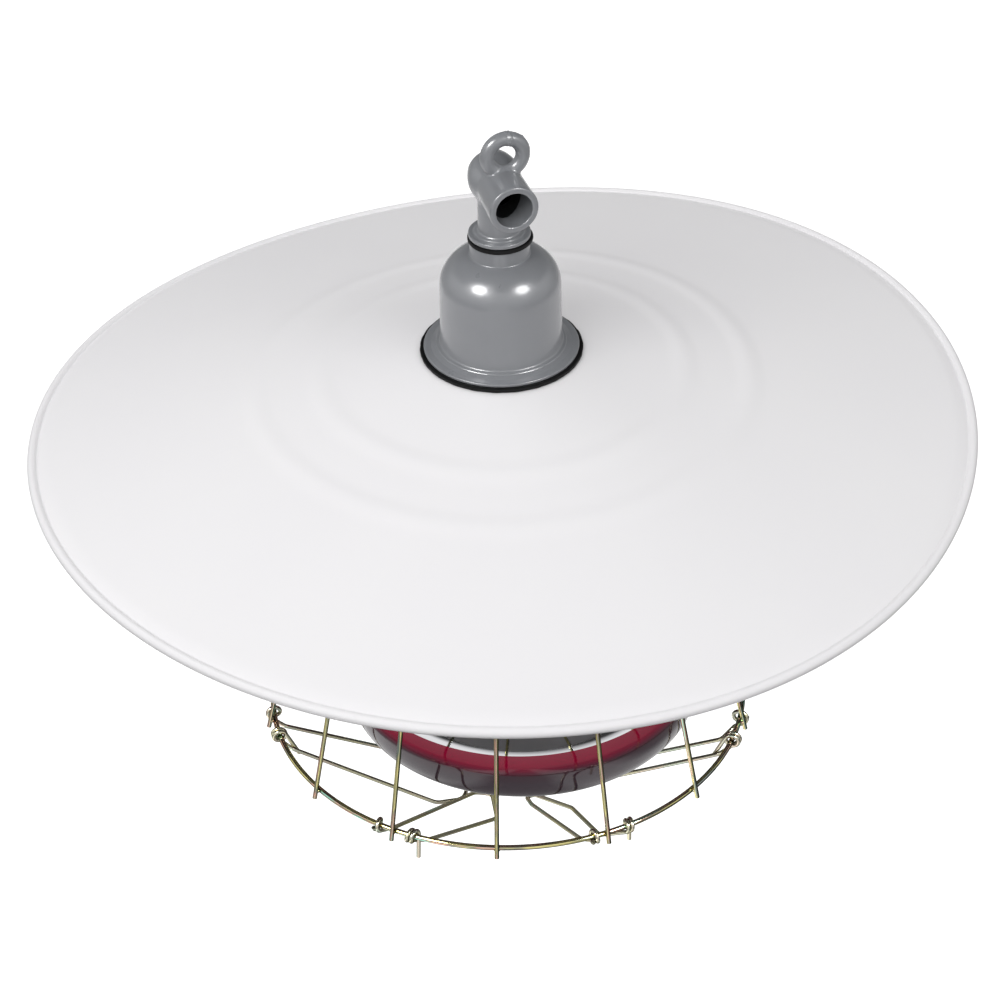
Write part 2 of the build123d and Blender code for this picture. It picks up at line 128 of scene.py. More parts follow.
class ShadeSizes(bpy.types.PropertyGroup):
    radius: size("Radius", "Outer radius of the rolled rim, mm", reach("shade"))
    drop: size("Drop", "Fall of the sheet from the seat to the rim, mm", 29.2)
    sheet: size("Sheet", "Thickness of the enamelled sheet, mm", 0.7)
    bead: size("Bead", "Radius of the rolled rim, mm", 1.7)
    lip: size("Lip", "Extra fall of the sheet just before the rim, mm", 0.6)
    ridge_height: size("Ridge height", "Rise of the two pressed ridges, mm", 0.46)
    ridge_width: size("Ridge width", "Width of the two pressed ridges, mm", 12.0)
    warp: bpy.props.FloatProperty(
        name="Warp", description="Share of the pressed sheet's unevenness", default=1.0, min=0, max=2
    )


class HolderSizes(bpy.types.PropertyGroup):
    flange_radius: size("Flange radius", "Outer radius of the cap's flange, mm", reach("holder_cap"))
    height: size("Height", "Level of the cap's neck above the seat, mm", top("holder_cap"))
    wall: size("Wall", "Wall of the cap, mm", 2.2)
    tube_bore: size("Cable bore", "Radius of the cable tube's bore, mm", 6.0)
    tube_wall: size("Tube wall", "Wall of the cable tube, mm", 1.6)
    eye_section: size("Eye section", "Radius of the suspension eye's section, mm", 2.3)


class BulbSizes(bpy.types.PropertyGroup):
    radius: size("Radius", "Widest radius of the bulb, mm", reach("bulb_front") + 1.4)
    glass: size("Glass", "Thickness of the bulb's glass, mm", 1.2)
    thread_pitch: size("Thread pitch", "Pitch of the screw cap's rolled thread, mm", 25.4 / 7)
    thread_depth: size("Thread depth", "Depth of the screw cap's rolled thread, mm", 0.8)


class GuardSizes(bpy.types.PropertyGroup):
    ring_wire: size("Ring wire", "Diameter of the lower ring's wire, mm", 1.9)
    wire: size("Upright wire", "Diameter of the upright wires, mm", 1.6)
    loop_wire: size("Loop wire", "Diameter of the hinged loops' wire, mm", 1.5)
    loop_width: size("Loop width", "Distance between a loop's eyelets, mm", 10.8)
    weld: size("Weld", "Radius of a weld where two wires cross, mm", 0.95)


class Finishes(bpy.types.PropertyGroup):
    enamel: colour("Enamel", "White stove enamel of the shade", "ecebec")
    moulding: colour("Moulding", "Grey of the moulded cap and head", "808286")
    rubber: colour("Rubber", "Black of the gasket and washer", "0a0a0b")
    ruby: colour("Ruby glass", "Stained front of the bulb", "a00d3a")
    silver: colour("Silvering", "Metal film inside the bulb's glass", "dfdfe2")
    passivation: colour("Passivated wire", "Ground tone of the zinc plated guard", "7c774c")
    porcelain: colour("Porcelain", "Glaze of the socket", "ece8de")


# Nodes and meshes

# Share of a straight run that the bend at one of its ends may take up
BEND_SHARE = 0.48
BEND_STEPS = 10


def node(tree, kind, settings=None, **sockets):
    """Add one node, with its settings, and set each input or link it to a socket or a node's first output."""
    made = tree.nodes.new(kind)
    for key, value in (settings or {}).items():
        setattr(made, key, value)
    for key, value in sockets.items():
        names = key.replace("_", " ")
        index = int(names[1:]) if names[0] == "i" and names[1:].isdigit() else None
        socket = made.inputs[index] if index is not None else made.inputs[names]
        if isinstance(value, bpy.types.Node):
            value = next(output for output in value.outputs if output.enabled)
        if isinstance(value, bpy.types.NodeSocket):
            tree.links.new(value, socket)
        else:
            socket.default_value = value
    return made


def on_lamp(points):
    """Millimetres from the seat to the frame's metres."""
    return np.asarray(points, float) * MM + np.array(SEAT)


def closed_mesh(name, points, faces, crease=radians(38)):
    """A mesh with merged points, outward faces and smooth shading up to a crease."""
    mesh = bpy.data.meshes.new(name)
    mesh.from_pydata(on_lamp(points).tolist(), [], faces)
    work = bmesh.new()
    work.from_mesh(mesh)
    bmesh.ops.remove_doubles(work, verts=work.verts, dist=1e-7)
    loose = [edge for edge in work.edges if not edge.link_faces]
    bmesh.ops.delete(work, geom=loose, context="EDGES")
    bmesh.ops.recalc_face_normals(work, faces=work.faces)
    work.to_mesh(mesh)
    work.free()
    mesh.polygons.foreach_set("use_smooth", [True] * len(mesh.polygons))
    mesh.set_sharp_from_angle(angle=crease)
    return mesh


def lathe(name, outline, steps=160, shape=None):
    """A closed outline of radius and height turned about the lamp's axis, without its corners' bends."""
    outline = np.array([corner[:2] for corner in outline], float)
    count = len(outline)
    turn = np.linspace(0, tau, steps, endpoint=False)[:, None]
    radius = np.repeat(outline[None, :, 0], steps, 0)
    height = np.repeat(outline[None, :, 1], steps, 0)
    if shape:
        more_radius, more_height = shape(radius, turn, height)
        radius = radius + more_radius
        height = height + more_height
    points = np.stack([radius * np.cos(turn), radius * np.sin(turn), height], -1).reshape(-1, 3)
    i, j = np.meshgrid(np.arange(steps), np.arange(count), indexing="ij")
    after_i, after_j = (i + 1) % steps, (j + 1) % count
    faces = np.stack([i * count + j, after_i * count + j, after_i * count + after_j, i * count + after_j], -1)
    return closed_mesh(name, points, faces.reshape(-1, 4).tolist())


def rounded(*corners, steps=5):
    """A closed outline through corners of (radius, height, rounding)."""
    outline = []
    for i, (x, z, rounding) in enumerate(corners):
        corner = Vector((x, z))
        back = Vector(corners[i - 1][:2]) - corner
        ahead = Vector(corners[(i + 1) % len(corners)][:2]) - corner
        half = back.angle(ahead) / 2 if rounding else 0
        if half < 0.01 or half > pi / 2 - 0.01:
            outline.append(corner)
            continue
        run = min(rounding / tan(half), BEND_SHARE * back.length, BEND_SHARE * ahead.length)
        centre = corner + (back.normalized() + ahead.normalized()).normalized() * (run / cos(half))
        spoke = corner + back.normalized() * run - centre
        sweep = spoke.angle_signed(corner + ahead.normalized() * run - centre)
        for k in range(steps + 1):
            outline.append(centre + Matrix.Rotation(-sweep * k / steps, 2) @ spoke)
    return outline


def arc(centre, radius, start, end, steps=24):
    """Corners along an arc of an outline, with its angles in degrees."""
    turns = np.radians(np.linspace(start, end, steps + 1))
    return [(centre[0] + radius * cos(t), centre[1] + radius * sin(t), 0) for t in turns]


def flowing(points, first, last, steps=16):
    """A smooth line through points, with its directions at both ends."""
    points = [Vector(p).to_3d() for p in points]
    ways = [points[i + 1] - points[i - 1] for i in range(1, len(points) - 1)]
    ways = [Vector(first).to_3d(), *ways, Vector(last).to_3d()]
    line = []
    for a, b, way_a, way_b in zip(points, points[1:], ways, ways[1:]):
        span = (b - a).length / 3
        leave, arrive = a + way_a.normalized() * span, b - way_b.normalized() * span
        line += interpolate_bezier(a, leave, arrive, b, steps)[:-1]
    return [(p.x, p.y, 0) for p in line] + [(points[-1].x, points[-1].y, 0)]


def piece(mesh, finish, body, slot, *nodes):
    """Put a finished mesh on its body in place of CAD nodes, as a piece of the mesh's name."""
    mesh.materials.clear()
    mesh.materials.append(finish)
    made = bpy.data.objects.new(mesh.name, mesh)
    bpy.context.scene.collection.objects.link(made)
    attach(made, body)
    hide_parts(*nodes)


def dress(finish, *nodes):
    """Give CAD nodes that stay a finish of their own."""
    for name in nodes:
        mesh = frame["nodes"][name].data
        mesh.materials.clear()
        mesh.materials.append(finish)


# Finishes


def surface(build, *values, name=None):
    """The material whose shader a function builds from a node tree and the object's coordinates."""
    name = name or build.__name__.replace("_", " ").capitalize()
    made = bpy.data.materials.get(name)
    if made:
        return made
    made = bpy.data.materials.new(name)
    made.use_nodes = True
    tree = made.node_tree
    tree.nodes.clear()
    place = node(tree, "ShaderNodeTexCoord").outputs["Object"]
    shader = build(tree, place, *values)
    node(tree, "ShaderNodeOutputMaterial", Surface=shader)
    return made


def per_mm(wavelength):
    """Texture scale that gives a pattern of this size in millimetres."""
    return 1 / (wavelength * MM)


def unevenness(tree, place, width, strength, depth, detail):
    """Fine relief of a surface, with its width and depth in millimetres."""
    grain = node(tree, "ShaderNodeTexNoise", Vector=place, Scale=per_mm(width), Detail=detail)
    return node(tree, "ShaderNodeBump", Strength=strength, Distance=depth * MM, Height=grain)


# Share of each primary that is left where the enamel is thin
THIN_ENAMEL = (0.965, 0.962, 0.975)


def stove_enamel(tree, place):
    """Glass enamel fired on pressed sheet: soft gloss over a faint orange peel, with dull rubbed patches."""
    paint = bpy.context.scene.lamp_finishes.enamel
    cloud = node(tree, "ShaderNodeTexNoise", Vector=place, Scale=per_mm(70), Detail=3.0)
    tint = node(
        tree, "ShaderNodeMix", RGBA, Factor=cloud, i6=opaque(paint),
        i7=(*(v * share for v, share in zip(paint, THIN_ENAMEL)), 1),
    )
    rub = node(tree, "ShaderNodeTexNoise", Vector=place, Scale=per_mm(24), Detail=4.0)
    gloss = node(tree, "ShaderNodeMapRange", Value=rub, To_Min=0.3, To_Max=0.42)
    skin = unevenness(tree, place, 1.6, 0.05, 0.2, 2.0)
    return node(tree, "ShaderNodeBsdfPrincipled", Base_Color=tint, Roughness=gloss, Normal=skin, IOR=1.5)


def moulded_phenolic(tree, place):
    """Compression moulded grey thermoset: glossy skin with faint flow clouds, upright draw marks, and
    painted shade deep inside the cored holes."""
    grey = bpy.context.scene.lamp_finishes.moulding
    cloud = node(tree, "ShaderNodeTexNoise", Vector=place, Scale=per_mm(16), Detail=4.0)
    tone = node(tree, "ShaderNodeValToRGB", Fac=cloud)
    ramp = tone.color_ramp.elements
    ramp[0].position, ramp[1].position = 0.3, 0.72
    ramp[0].color = opaque(grey, 0.965)
    ramp[1].color = opaque(grey, 1.03)
    # Painted shade: deep in the cable bore and the stem's passage the grey is darkened nearly to black
    cored = node(tree, "ShaderNodeAttribute", {"attribute_name": "cored"})
    tone = node(tree, "ShaderNodeMix", RGBA, Factor=cored.outputs["Fac"], i6=tone, i7=opaque(grey, 0.06))
    upright = node(
        tree, "ShaderNodeVectorMath", {"operation": "MULTIPLY"}, i0=place,
        i1=(per_mm(5), per_mm(5), per_mm(90)),
    )
    smear = node(tree, "ShaderNodeTexNoise", Vector=upright, Scale=1.0, Detail=3.0)
    gloss = node(tree, "ShaderNodeMapRange", Value=smear, To_Min=0.2, To_Max=0.46)
    skin = unevenness(tree, place, 0.7, 0.06, 0.2, 3.0)
    return node(
        tree, "ShaderNodeBsdfPrincipled", Base_Color=tone, Roughness=gloss, Normal=skin, IOR=1.55,
        Coat_Weight=1.0, Coat_Roughness=0.19,
    )


def black_rubber(tree, place):
    """Cut sheet rubber: deep black with a grey bloom and a dull, fine tooth."""
    black = bpy.context.scene.lamp_finishes.rubber
    bloom = node(tree, "ShaderNodeTexNoise", Vector=place, Scale=per_mm(3), Detail=5.0)
    tone = node(
        tree, "ShaderNodeMix", RGBA, Factor=bloom, i6=opaque(black), i7=(*(v + 0.006 for v in black), 1),
    )
    skin = unevenness(tree, place, 0.4, 0.25, 0.1, 2.0)
    return node(
        tree, "ShaderNodeBsdfPrincipled", Base_Color=tone, Roughness=0.5, Normal=skin,
        Specular_IOR_Level=0.22,
    )


# Side of the wire, facing right and down, that is painted nearly black: painted shade
SHADE_SIDE_WAY = (0.8, -0.25, -0.55)
PAINTED_SHADE_COLOUR = "2f362c"
# Colours that the film takes as it gets thicker, and the pale tone that lightens the loops' copy: painted
# light
FILM_ENDS = ("c2cac6", "b8bfac")
FILM_BANDS = (
    (0.14, "97a59c"), (0.28, "d0cb98"), (0.40, "fff2a4"), (0.52, "939a93"), (0.62, "ffc6ae"),
    (0.72, "c4c8ae"), (0.84, "b4f2dc"),
)
LOOP_LIGHT_TONE = (0.92, 0.9, 0.74, 1)


def passivated_zinc_wire(tree, place, paler=0.0):
    """Zinc plated wire with a chromate film: gold and olive, streaked with pink and green along the wire,
    with painted shade that makes it nearly black on the side that faces right and down.

    A paler copy, as on the bent loops, is mixed towards a pale tone and carries less painted shade: painted
    light on the loops."""
    ground = bpy.context.scene.lamp_finishes.passivation
    along = node(tree, "ShaderNodeAttribute", {"attribute_name": "along"})
    facing = node(tree, "ShaderNodeTexCoord").outputs["Normal"]
    spread = node(tree, "ShaderNodeVectorMath", {"operation": "SCALE"}, i0=place, Scale=per_mm(34))
    turned = node(
        tree, "ShaderNodeVectorMath", {"operation": "MULTIPLY_ADD"}, i0=facing, i1=(0.75, 0.75, 0.75),
        i2=spread,
    )
    streaks = node(tree, "ShaderNodeTexNoise", Vector=turned, Scale=1.0, Detail=4.0)
    bands = node(
        tree, "ShaderNodeTexNoise", {"noise_dimensions": "1D"}, W=along.outputs["Fac"], Scale=per_mm(38),
        Detail=3.0,
    )
    share = node(tree, "ShaderNodeMath", {"operation": "ADD"}, i0=streaks, i1=bands)
    film = node(tree, "ShaderNodeMapRange", Value=share, From_Min=0.68, From_Max=1.32)
    tone = node(tree, "ShaderNodeValToRGB", Fac=film)
    ramp = tone.color_ramp.elements
    ramp[0].color, ramp[1].color = (opaque(code) for code in FILM_ENDS)
    for stop, code in FILM_BANDS:
        ramp.new(stop).color = opaque(code)
    for stop in ramp:
        stop.color = [v * (1 - paler) + thin * paler for v, thin in zip(stop.color, LOOP_LIGHT_TONE)]
    cast = node(tree, "ShaderNodeMix", RGBA, Factor=0.08, i6=tone, i7=opaque(ground))
    # Painted shade: thick is the share by which the side facing right and down is darkened nearly to black
    shade_side = node(tree, "ShaderNodeVectorMath", {"operation": "DOT_PRODUCT"}, i0=facing, i1=SHADE_SIDE_WAY)
    thick = node(
        tree, "ShaderNodeMapRange", {"interpolation_type": "SMOOTHSTEP"}, Value=shade_side, From_Min=0.05,
        From_Max=0.55, To_Max=0.86 * (1 - paler / 2),
    )
    with_painted_shade = node(tree, "ShaderNodeMix", RGBA, Factor=thick, i6=cast, i7=opaque(PAINTED_SHADE_COLOUR))
    skin = unevenness(tree, place, 0.5, 0.02, 0.1, 3.0)
    gloss = node(tree, "ShaderNodeMapRange", Value=streaks, To_Min=0.05, To_Max=0.13)
    return node(
        tree, "ShaderNodeBsdfPrincipled", Base_Color=with_painted_shade, Metallic=1.0, Roughness=gloss, Normal=skin,
        Specular_Tint=(0.12, 0.12, 0.1, 1),
    )


def silvered_glass(tree, place):
    """Clear glass with an aluminium film behind it: a mirror with slight mould waves."""
    film = bpy.context.scene.lamp_finishes.silver
    wave = node(tree, "ShaderNodeTexNoise", Vector=place, Scale=per_mm(18), Detail=2.0)
    bump = node(tree, "ShaderNodeBump", Strength=0.012, Distance=0.0006, Height=wave)
    haze = node(tree, "ShaderNodeMapRange", Value=wave, To_Min=0.03, To_Max=0.07)
    return node(
        tree, "ShaderNodeBsdfPrincipled", Base_Color=opaque(film), Metallic=1.0, Roughness=haze, Normal=bump,
    )


def ruby_glass(tree, place):
    """Glass flashed with a ruby stain: deep crimson under a clear gloss that mirrors what is round it,
    darkened to grey-violet towards its bottom by painted shade.
    """
    ruby = bpy.context.scene.lamp_finishes.ruby
    # Painted shade: from the top of the front to its bottom the crimson is darkened to grey-violet
    low, high = (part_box("bulb_front")[i].z for i in (0, 1))
    stain = node(tree, "ShaderNodeTexNoise", Vector=place, Scale=per_mm(30), Detail=3.0)
    level = node(tree, "ShaderNodeSeparateXYZ", Vector=place).outputs["Z"]
    depth = node(tree, "ShaderNodeMapRange", Value=level, From_Min=high, From_Max=low)
    drift = node(tree, "ShaderNodeMath", {"operation": "MULTIPLY_ADD"}, i0=stain, i1=0.06, i2=depth)
    tone = node(tree, "ShaderNodeValToRGB", Fac=drift)
    ramp = tone.color_ramp.elements
    ramp[0].position, ramp[1].position = 0.15, 0.42
    ramp[0].color = opaque(ruby)
    ramp[1].color = opaque("43333f")
    ramp.new(0.23).color = opaque("701a38")
    ramp.new(0.28).color = opaque("472a38")
    skin = unevenness(tree, place, 22, 0.04, 0.5, 1.0)
    return node(tree, "ShaderNodeBsdfPrincipled", Base_Color=tone, Roughness=0.05, IOR=1.47, Normal=skin)


def glazed_porcelain(tree, place):
    """Fired white body under a clear glaze, with grey iron specks."""
    glaze = bpy.context.scene.lamp_finishes.porcelain
    specks = node(tree, "ShaderNodeTexVoronoi", Vector=place, Scale=per_mm(3))
    dots = node(tree, "ShaderNodeMapRange", Value=specks, From_Min=0.04, From_Max=0.1)
    tone = node(tree, "ShaderNodeMix", RGBA, Factor=dots, i6=opaque(glaze, 0.55), i7=opaque(glaze))
    return node(
        tree, "ShaderNodeBsdfPrincipled", Base_Color=tone, Roughness=0.2, IOR=1.55, Coat_Weight=0.6,
        Coat_Roughness=0.05,
    )


def worked_metal(tree, place, code, roughness, wear):
    """Rolled, pressed or turned metal: fine drawing marks and finger-dulled patches."""
    dull = node(tree, "ShaderNodeTexNoise", Vector=place, Scale=per_mm(6), Detail=4.0)
    shade = node(tree, "ShaderNodeMix", RGBA, Factor=dull, i6=opaque(code), i7=opaque(code, wear))
    gloss = node(tree, "ShaderNodeMapRange", Value=dull, To_Min=roughness, To_Max=roughness + 0.15)
    skin = unevenness(tree, place, 0.8, 0.1, 0.1, 4.0)
    return node(
        tree, "ShaderNodeBsdfPrincipled", Base_Color=shade, Metallic=1.0, Roughness=gloss, Normal=skin,
    )


def black_nylon(tree, place):
    """Moulded nylon: black with a fine spark grain that softens the light."""
    grain = node(tree, "ShaderNodeTexNoise", Vector=place, Scale=per_mm(0.6), Detail=3.0)
    tone = node(tree, "ShaderNodeMix", RGBA, Factor=grain, i6=opaque("1c1c1e"), i7=opaque("29292b"))
    bump = node(tree, "ShaderNodeBump", Strength=0.2, Distance=0.0001, Height=grain)
    return node(tree, "ShaderNodeBsdfPrincipled", Base_Color=tone, Roughness=0.42, Normal=bump, IOR=1.53)


def inner_glass(tree, place, code, clear):
    """Pressed or drawn glass inside the bulb: smooth, with fine seeds."""
    seeds = node(tree, "ShaderNodeTexNoise", Vector=place, Scale=per_mm(2), Detail=2.0)
    bump = node(tree, "ShaderNodeBump", Strength=0.05, Distance=0.0002, Height=seeds)
    gloss = node(tree, "ShaderNodeMapRange", Value=seeds, To_Min=0.04, To_Max=0.1)
    return node(
        tree, "ShaderNodeBsdfPrincipled", Base_Color=opaque(code), IOR=1.5, Roughness=gloss, Normal=bump,
        Transmission_Weight=clear,
    )


# Wire trees


def new_tree(name, **inputs):
    """A Geometry Nodes tree with named inputs and one output, and the sockets of its inputs."""
    tree = bpy.data.node_groups.new(name, "GeometryNodeTree")
    for label, kind in inputs.items():
        tree.interface.new_socket(label, in_out="INPUT", socket_type="NodeSocket" + kind)
    tree.interface.new_socket("Made", in_out="OUTPUT", socket_type="NodeSocketGeometry")
    return tree, node(tree, "NodeGroupInput").outputs


def wire_tree():
    """Geometry nodes that give a line its round wire, its ends and a measure along it."""
    made = bpy.data.node_groups.get("Bent wire")
    if made:
        return made
    tree, given = new_tree("Bent wire", Line="Geometry", Radius="Float", Sides="Int", Finish="Material")
    measure = node(tree, "GeometryNodeSplineParameter")
    marked = node(
        tree, "GeometryNodeStoreNamedAttribute", {"data_type": "FLOAT", "domain": "POINT"},
        Geometry=given["Line"], Name="along", Value=measure.outputs["Length"],
    )
    section = node(
        tree, "GeometryNodeCurvePrimitiveCircle", Resolution=given["Sides"], Radius=given["Radius"],
    )
    swept = node(tree, "GeometryNodeCurveToMesh", Curve=marked, Profile_Curve=section, Fill_Caps=True)
    smooth = node(tree, "GeometryNodeSetShadeSmooth", Geometry=swept)
    real = node(tree, "GeometryNodeRealizeInstances", Geometry=smooth)
    painted = node(tree, "GeometryNodeSetMaterial", Geometry=real, Material=given["Finish"])
    node(tree, "NodeGroupOutput", Made=painted)
    return tree


def weld_tree():
    """Geometry nodes that set a flattened nugget of weld on every point."""
    tree, given = new_tree("Weld nuggets", Points="Geometry", Radius="Float", Finish="Material")
    nugget = node(tree, "GeometryNodeMeshIcoSphere", Radius=given["Radius"], Subdivisions=3)
    vary = node(
        tree, "FunctionNodeRandomValue", {"data_type": "FLOAT_VECTOR"}, i0=(0.85, 0.85, 0.75),
        i1=(1.15, 1.15, 1.0), Seed=7,
    )
    placed = node(tree, "GeometryNodeInstanceOnPoints", Points=given["Points"], Instance=nugget, Scale=vary)
    real = node(tree, "GeometryNodeRealizeInstances", Geometry=placed)
    smooth = node(tree, "GeometryNodeSetShadeSmooth", Geometry=real)
    painted = node(tree, "GeometryNodeSetMaterial", Geometry=smooth, Material=given["Finish"])
    node(tree, "NodeGroupOutput", Made=painted)
    return tree


def grown(name, source, tree, **values):
    """The plain mesh that a node tree makes from a line or a set of points."""
    carrier = bpy.data.objects.new(name, source)
    bpy.context.scene.collection.objects.link(carrier)
    modifier = carrier.modifiers.new("Nodes", "NODES")
    modifier.node_group = tree
    for item in tree.interface.items_tree:
        if item.in_out == "INPUT" and item.name in values:
            modifier[item.identifier] = values[item.name]
    evaluated = carrier.evaluated_get(bpy.context.evaluated_depsgraph_get())
    mesh = bpy.data.meshes.new_from_object(evaluated)
    mesh.name = name
    bpy.data.objects.remove(carrier)
    return mesh


def wires(name, paths, diameter, finish, closed=False, sides=14):
    """Round wire along each path of points in millimetres from the seat."""
    line = bpy.data.curves.new(name, "CURVE")
    line.dimensions = "3D"
    for path in paths:
        spline = line.splines.new("POLY")
        spline.points.add(len(path) - 1)
        flat = np.c_[on_lamp(path), np.ones(len(path))]
        spline.points.foreach_set("co", flat.ravel())
        spline.use_cyclic_u = closed
    return grown(name, line, wire_tree(), Radius=diameter / 2 * MM, Sides=sides, Finish=finish)


def bent(*corners):
    """Points along straight runs of wire whose corners are (place, bend radius)."""
    path = []
    for i, (corner, radius) in enumerate(corners):
        corner = Vector(corner)
        if not radius:
            path.append(corner)
            continue
        back = Vector(corners[i - 1][0]) - corner
        ahead = Vector(corners[i + 1][0]) - corner
        half = back.angle(ahead) / 2
        run = min(radius / tan(half), BEND_SHARE * back.length, BEND_SHARE * ahead.length)
        start, end = corner + back.normalized() * run, corner + ahead.normalized() * run
        centre = corner + (back.normalized() + ahead.normalized()).normalized() * (run / cos(half))
        spoke = start - centre
        axis = spoke.cross(end - centre)
        turn = spoke.angle(end - centre)
        for k in range(BEND_STEPS + 1):
            path.append(centre + Matrix.Rotation(turn * k / BEND_STEPS, 3, axis) @ spoke)
    return path


def joined(name, *meshes):
    """Several meshes as one, with their attributes kept."""
    work = bmesh.new()
    for mesh in meshes:
        work.from_mesh(mesh)
    made = bpy.data.meshes.new(name)
    work.to_mesh(made)
    work.free()
    return made


# Shade

SHADE_RIDGES = (61.0, 83.0)
SHADE_SEAT = 28.0
SHADE_HOLE = 19.0
LIP_WIDTH = 4.5
# Groove inside the rolled rim: mm outwards and mm down from the end of the sheet
RIM_GROOVE = ((0.25, 0.16), (0.42, 0.2))
BEAD_SINK = 1.15
BEAD_TURN = (146, -160)
# Waves of the rim, which is out of true: number round the rim, height in mm and place of a crest in degrees
RIM_SPREAD = ((1, 1.15, 8), (2, 1.68, 118), (3, 1.34, 157))
RIM_LIFT = ((1, 1.79, -3), (2, 2.85, 58), (3, 0.73, 123))


class LAMP_OT_shade(bpy.types.Operator):
    """Press the shade: a shallow cone with two ridges and a rolled rim, a little out of true"""

    bl_idname = "lamp.shade"
    bl_label = "Shade"

    def execute(self, context):
        sizes = context.scene.lamp_shade
        rim = sizes.radius - sizes.bead
        neck = rim - sizes.bead * 1.25
        slope = (sizes.drop - sizes.lip) / (rim - SHADE_SEAT)

        def level(radius):
            turned = max(0.0, radius - neck + LIP_WIDTH) / LIP_WIDTH
            fall = -slope * max(0.0, radius - SHADE_SEAT) - sizes.lip * turned ** 2
            rise = sum(
                sizes.ridge_height * cos((radius - r) / sizes.ridge_width * pi) ** 2
                for r in SHADE_RIDGES if abs(radius - r) < sizes.ridge_width / 2
            )
            return fall + rise

        bend = neck - LIP_WIDTH
        stations = [SHADE_HOLE, *np.arange(SHADE_HOLE + 1, bend, 1.25), *np.linspace(bend, neck, 9)]
        upper = [(r, level(r), 0) for r in stations]
        edge = level(neck)
        groove = [(neck + out, edge - down, 0) for out, down in RIM_GROOVE]
        bead = arc((rim, edge - BEAD_SINK), sizes.bead, *BEAD_TURN, 36)
        lower = [(r, level(r) - sizes.sheet, 0) for r in reversed(stations)]
        outline = (*upper, *groove, *bead, *lower)

        def warp(radius, turn, height):
            share = sizes.warp * (radius / sizes.radius) ** 2
            spread = sum(a * np.cos(k * turn - radians(p)) for k, a, p in RIM_SPREAD)
            lift = sum(a * np.cos(k * turn - radians(p)) for k, a, p in RIM_LIFT)
            return share * spread, share * lift

        mesh = lathe("pressed_shade", outline, 288, warp)
        piece(mesh, surface(stove_enamel), "lamp", "white_enamel", "shade")
        return {"FINISHED"}


# Holder cap and its seals

CAP_BASE = 1.5
CAP_SHOULDER = 25.2
CAP_SKIRT = -12.0
NECK_RADIUS = 9.8
NECK_BORE = 7.5
# Radius at which the dome runs into the neck
NECK_FOOT = NECK_RADIUS + 0.9
DOME_CENTRE = (7.96, CAP_SHOULDER)
DOME_RADIUS = 11.94
SKIRT_RADIUS = 18.9
SKIRT_WALL = 2.1


class LAMP_OT_holder_cap(bpy.types.Operator):
    """Mould the bell over the socket, with its flange, dome and neck"""

    bl_idname = "lamp.holder_cap"
    bl_label = "Holder cap"

    def execute(self, context):
        sizes = context.scene.lamp_holder
        flange = sizes.flange_radius
        dome = DOME_CENTRE[0] + DOME_RADIUS
        inner_dome = DOME_RADIUS - sizes.wall
        neck_out = NECK_FOOT - DOME_CENTRE[0]
        neck_rise = sqrt(DOME_RADIUS ** 2 - neck_out ** 2)
        last = np.degrees(atan2(neck_rise, neck_out))
        outline = rounded(
            (flange, CAP_BASE, 0.15),
            (flange, CAP_BASE + 0.95, 0.35),
            (flange - 1.0, CAP_BASE + 1.1, 0.3),
            (flange - 2.4, CAP_BASE + 1.25, 1.2),
            (dome + 1.75, CAP_BASE + 1.95, 0.25),
            (dome + 1.55, CAP_BASE + 2.2, 0.2),
            (dome + 0.42, CAP_BASE + 2.55, 1.6),
            (dome + 0.3, CAP_BASE + 5.5, 0),
            *arc(DOME_CENTRE, DOME_RADIUS, 0, last, 40),
            (NECK_RADIUS + 0.12, CAP_SHOULDER + neck_rise + 0.12, 0.5),
            (NECK_RADIUS, sizes.height, 0.3),
            (NECK_BORE, sizes.height, 0.2),
            (NECK_BORE, CAP_SHOULDER + inner_dome, 0),
            *arc(DOME_CENTRE, inner_dome, 90, 0, 16),
            (dome - sizes.wall, CAP_BASE + 1.9, 0),
            (SKIRT_RADIUS - SKIRT_WALL, CAP_BASE, 0),
            (SKIRT_RADIUS - SKIRT_WALL, CAP_SKIRT, 0.3),
            (SKIRT_RADIUS, CAP_SKIRT, 0.4),
            (SKIRT_RADIUS, CAP_BASE, 0),
        )
        mesh = lathe("moulded_cap", outline, 200)
        piece(mesh, surface(moulded_phenolic), "lamp", "moulded_grey", "holder_cap")
        return {"FINISHED"}


class LAMP_OT_seals(bpy.types.Operator):
    """Cut the gasket under the flange and squeeze the washer under the head"""

    bl_idname = "lamp.seals"
    bl_label = "Seals"

    def execute(self, context):
        rubber = surface(black_rubber)
        rim, inner = reach("cap_gasket"), SHADE_HOLE
        thick = top("cap_gasket")
        outline = rounded((inner, 0, 0.1), (rim, 0.05, 0.45), (rim, thick, 0.5), (inner, thick, 0.1), steps=6)

        def nicks(radius, turn, height):
            rough = 0.06 * np.sin(37 * turn) * np.sin(11 * turn + 1) + 0.05 * np.sin(23 * turn + 2)
            edge = np.clip((radius - flange_edge) / (rim - flange_edge), 0, 1)
            return rough * edge, 0 * radius

        flange_edge = reach("holder_cap")
        piece(lathe("cut_gasket", outline, 240, nicks), rubber, "lamp", "black_rubber", "cap_gasket")
        rim, inner = reach("head_washer"), NECK_BORE
        low, high = bottom("head_washer"), top("head_washer")
        outline = rounded((inner, low, 0.1), (rim, low, 0.6), (rim, high, 0.6), (inner, high, 0.1), steps=6)

        def squeezed(radius, turn, height):
            bulge = 0.25 + 0.45 * np.exp(-((np.angle(np.exp(1j * (turn - 0.1)))) / 0.7) ** 2)
            return bulge * np.clip((radius - inner) / (rim - inner), 0, 1) ** 2, 0 * radius

        mesh = lathe("squeezed_washer", outline, 120, squeezed)
        piece(mesh, rubber, "hanger", "black_rubber", "head_washer")
        return {"FINISHED"}


# Cable head

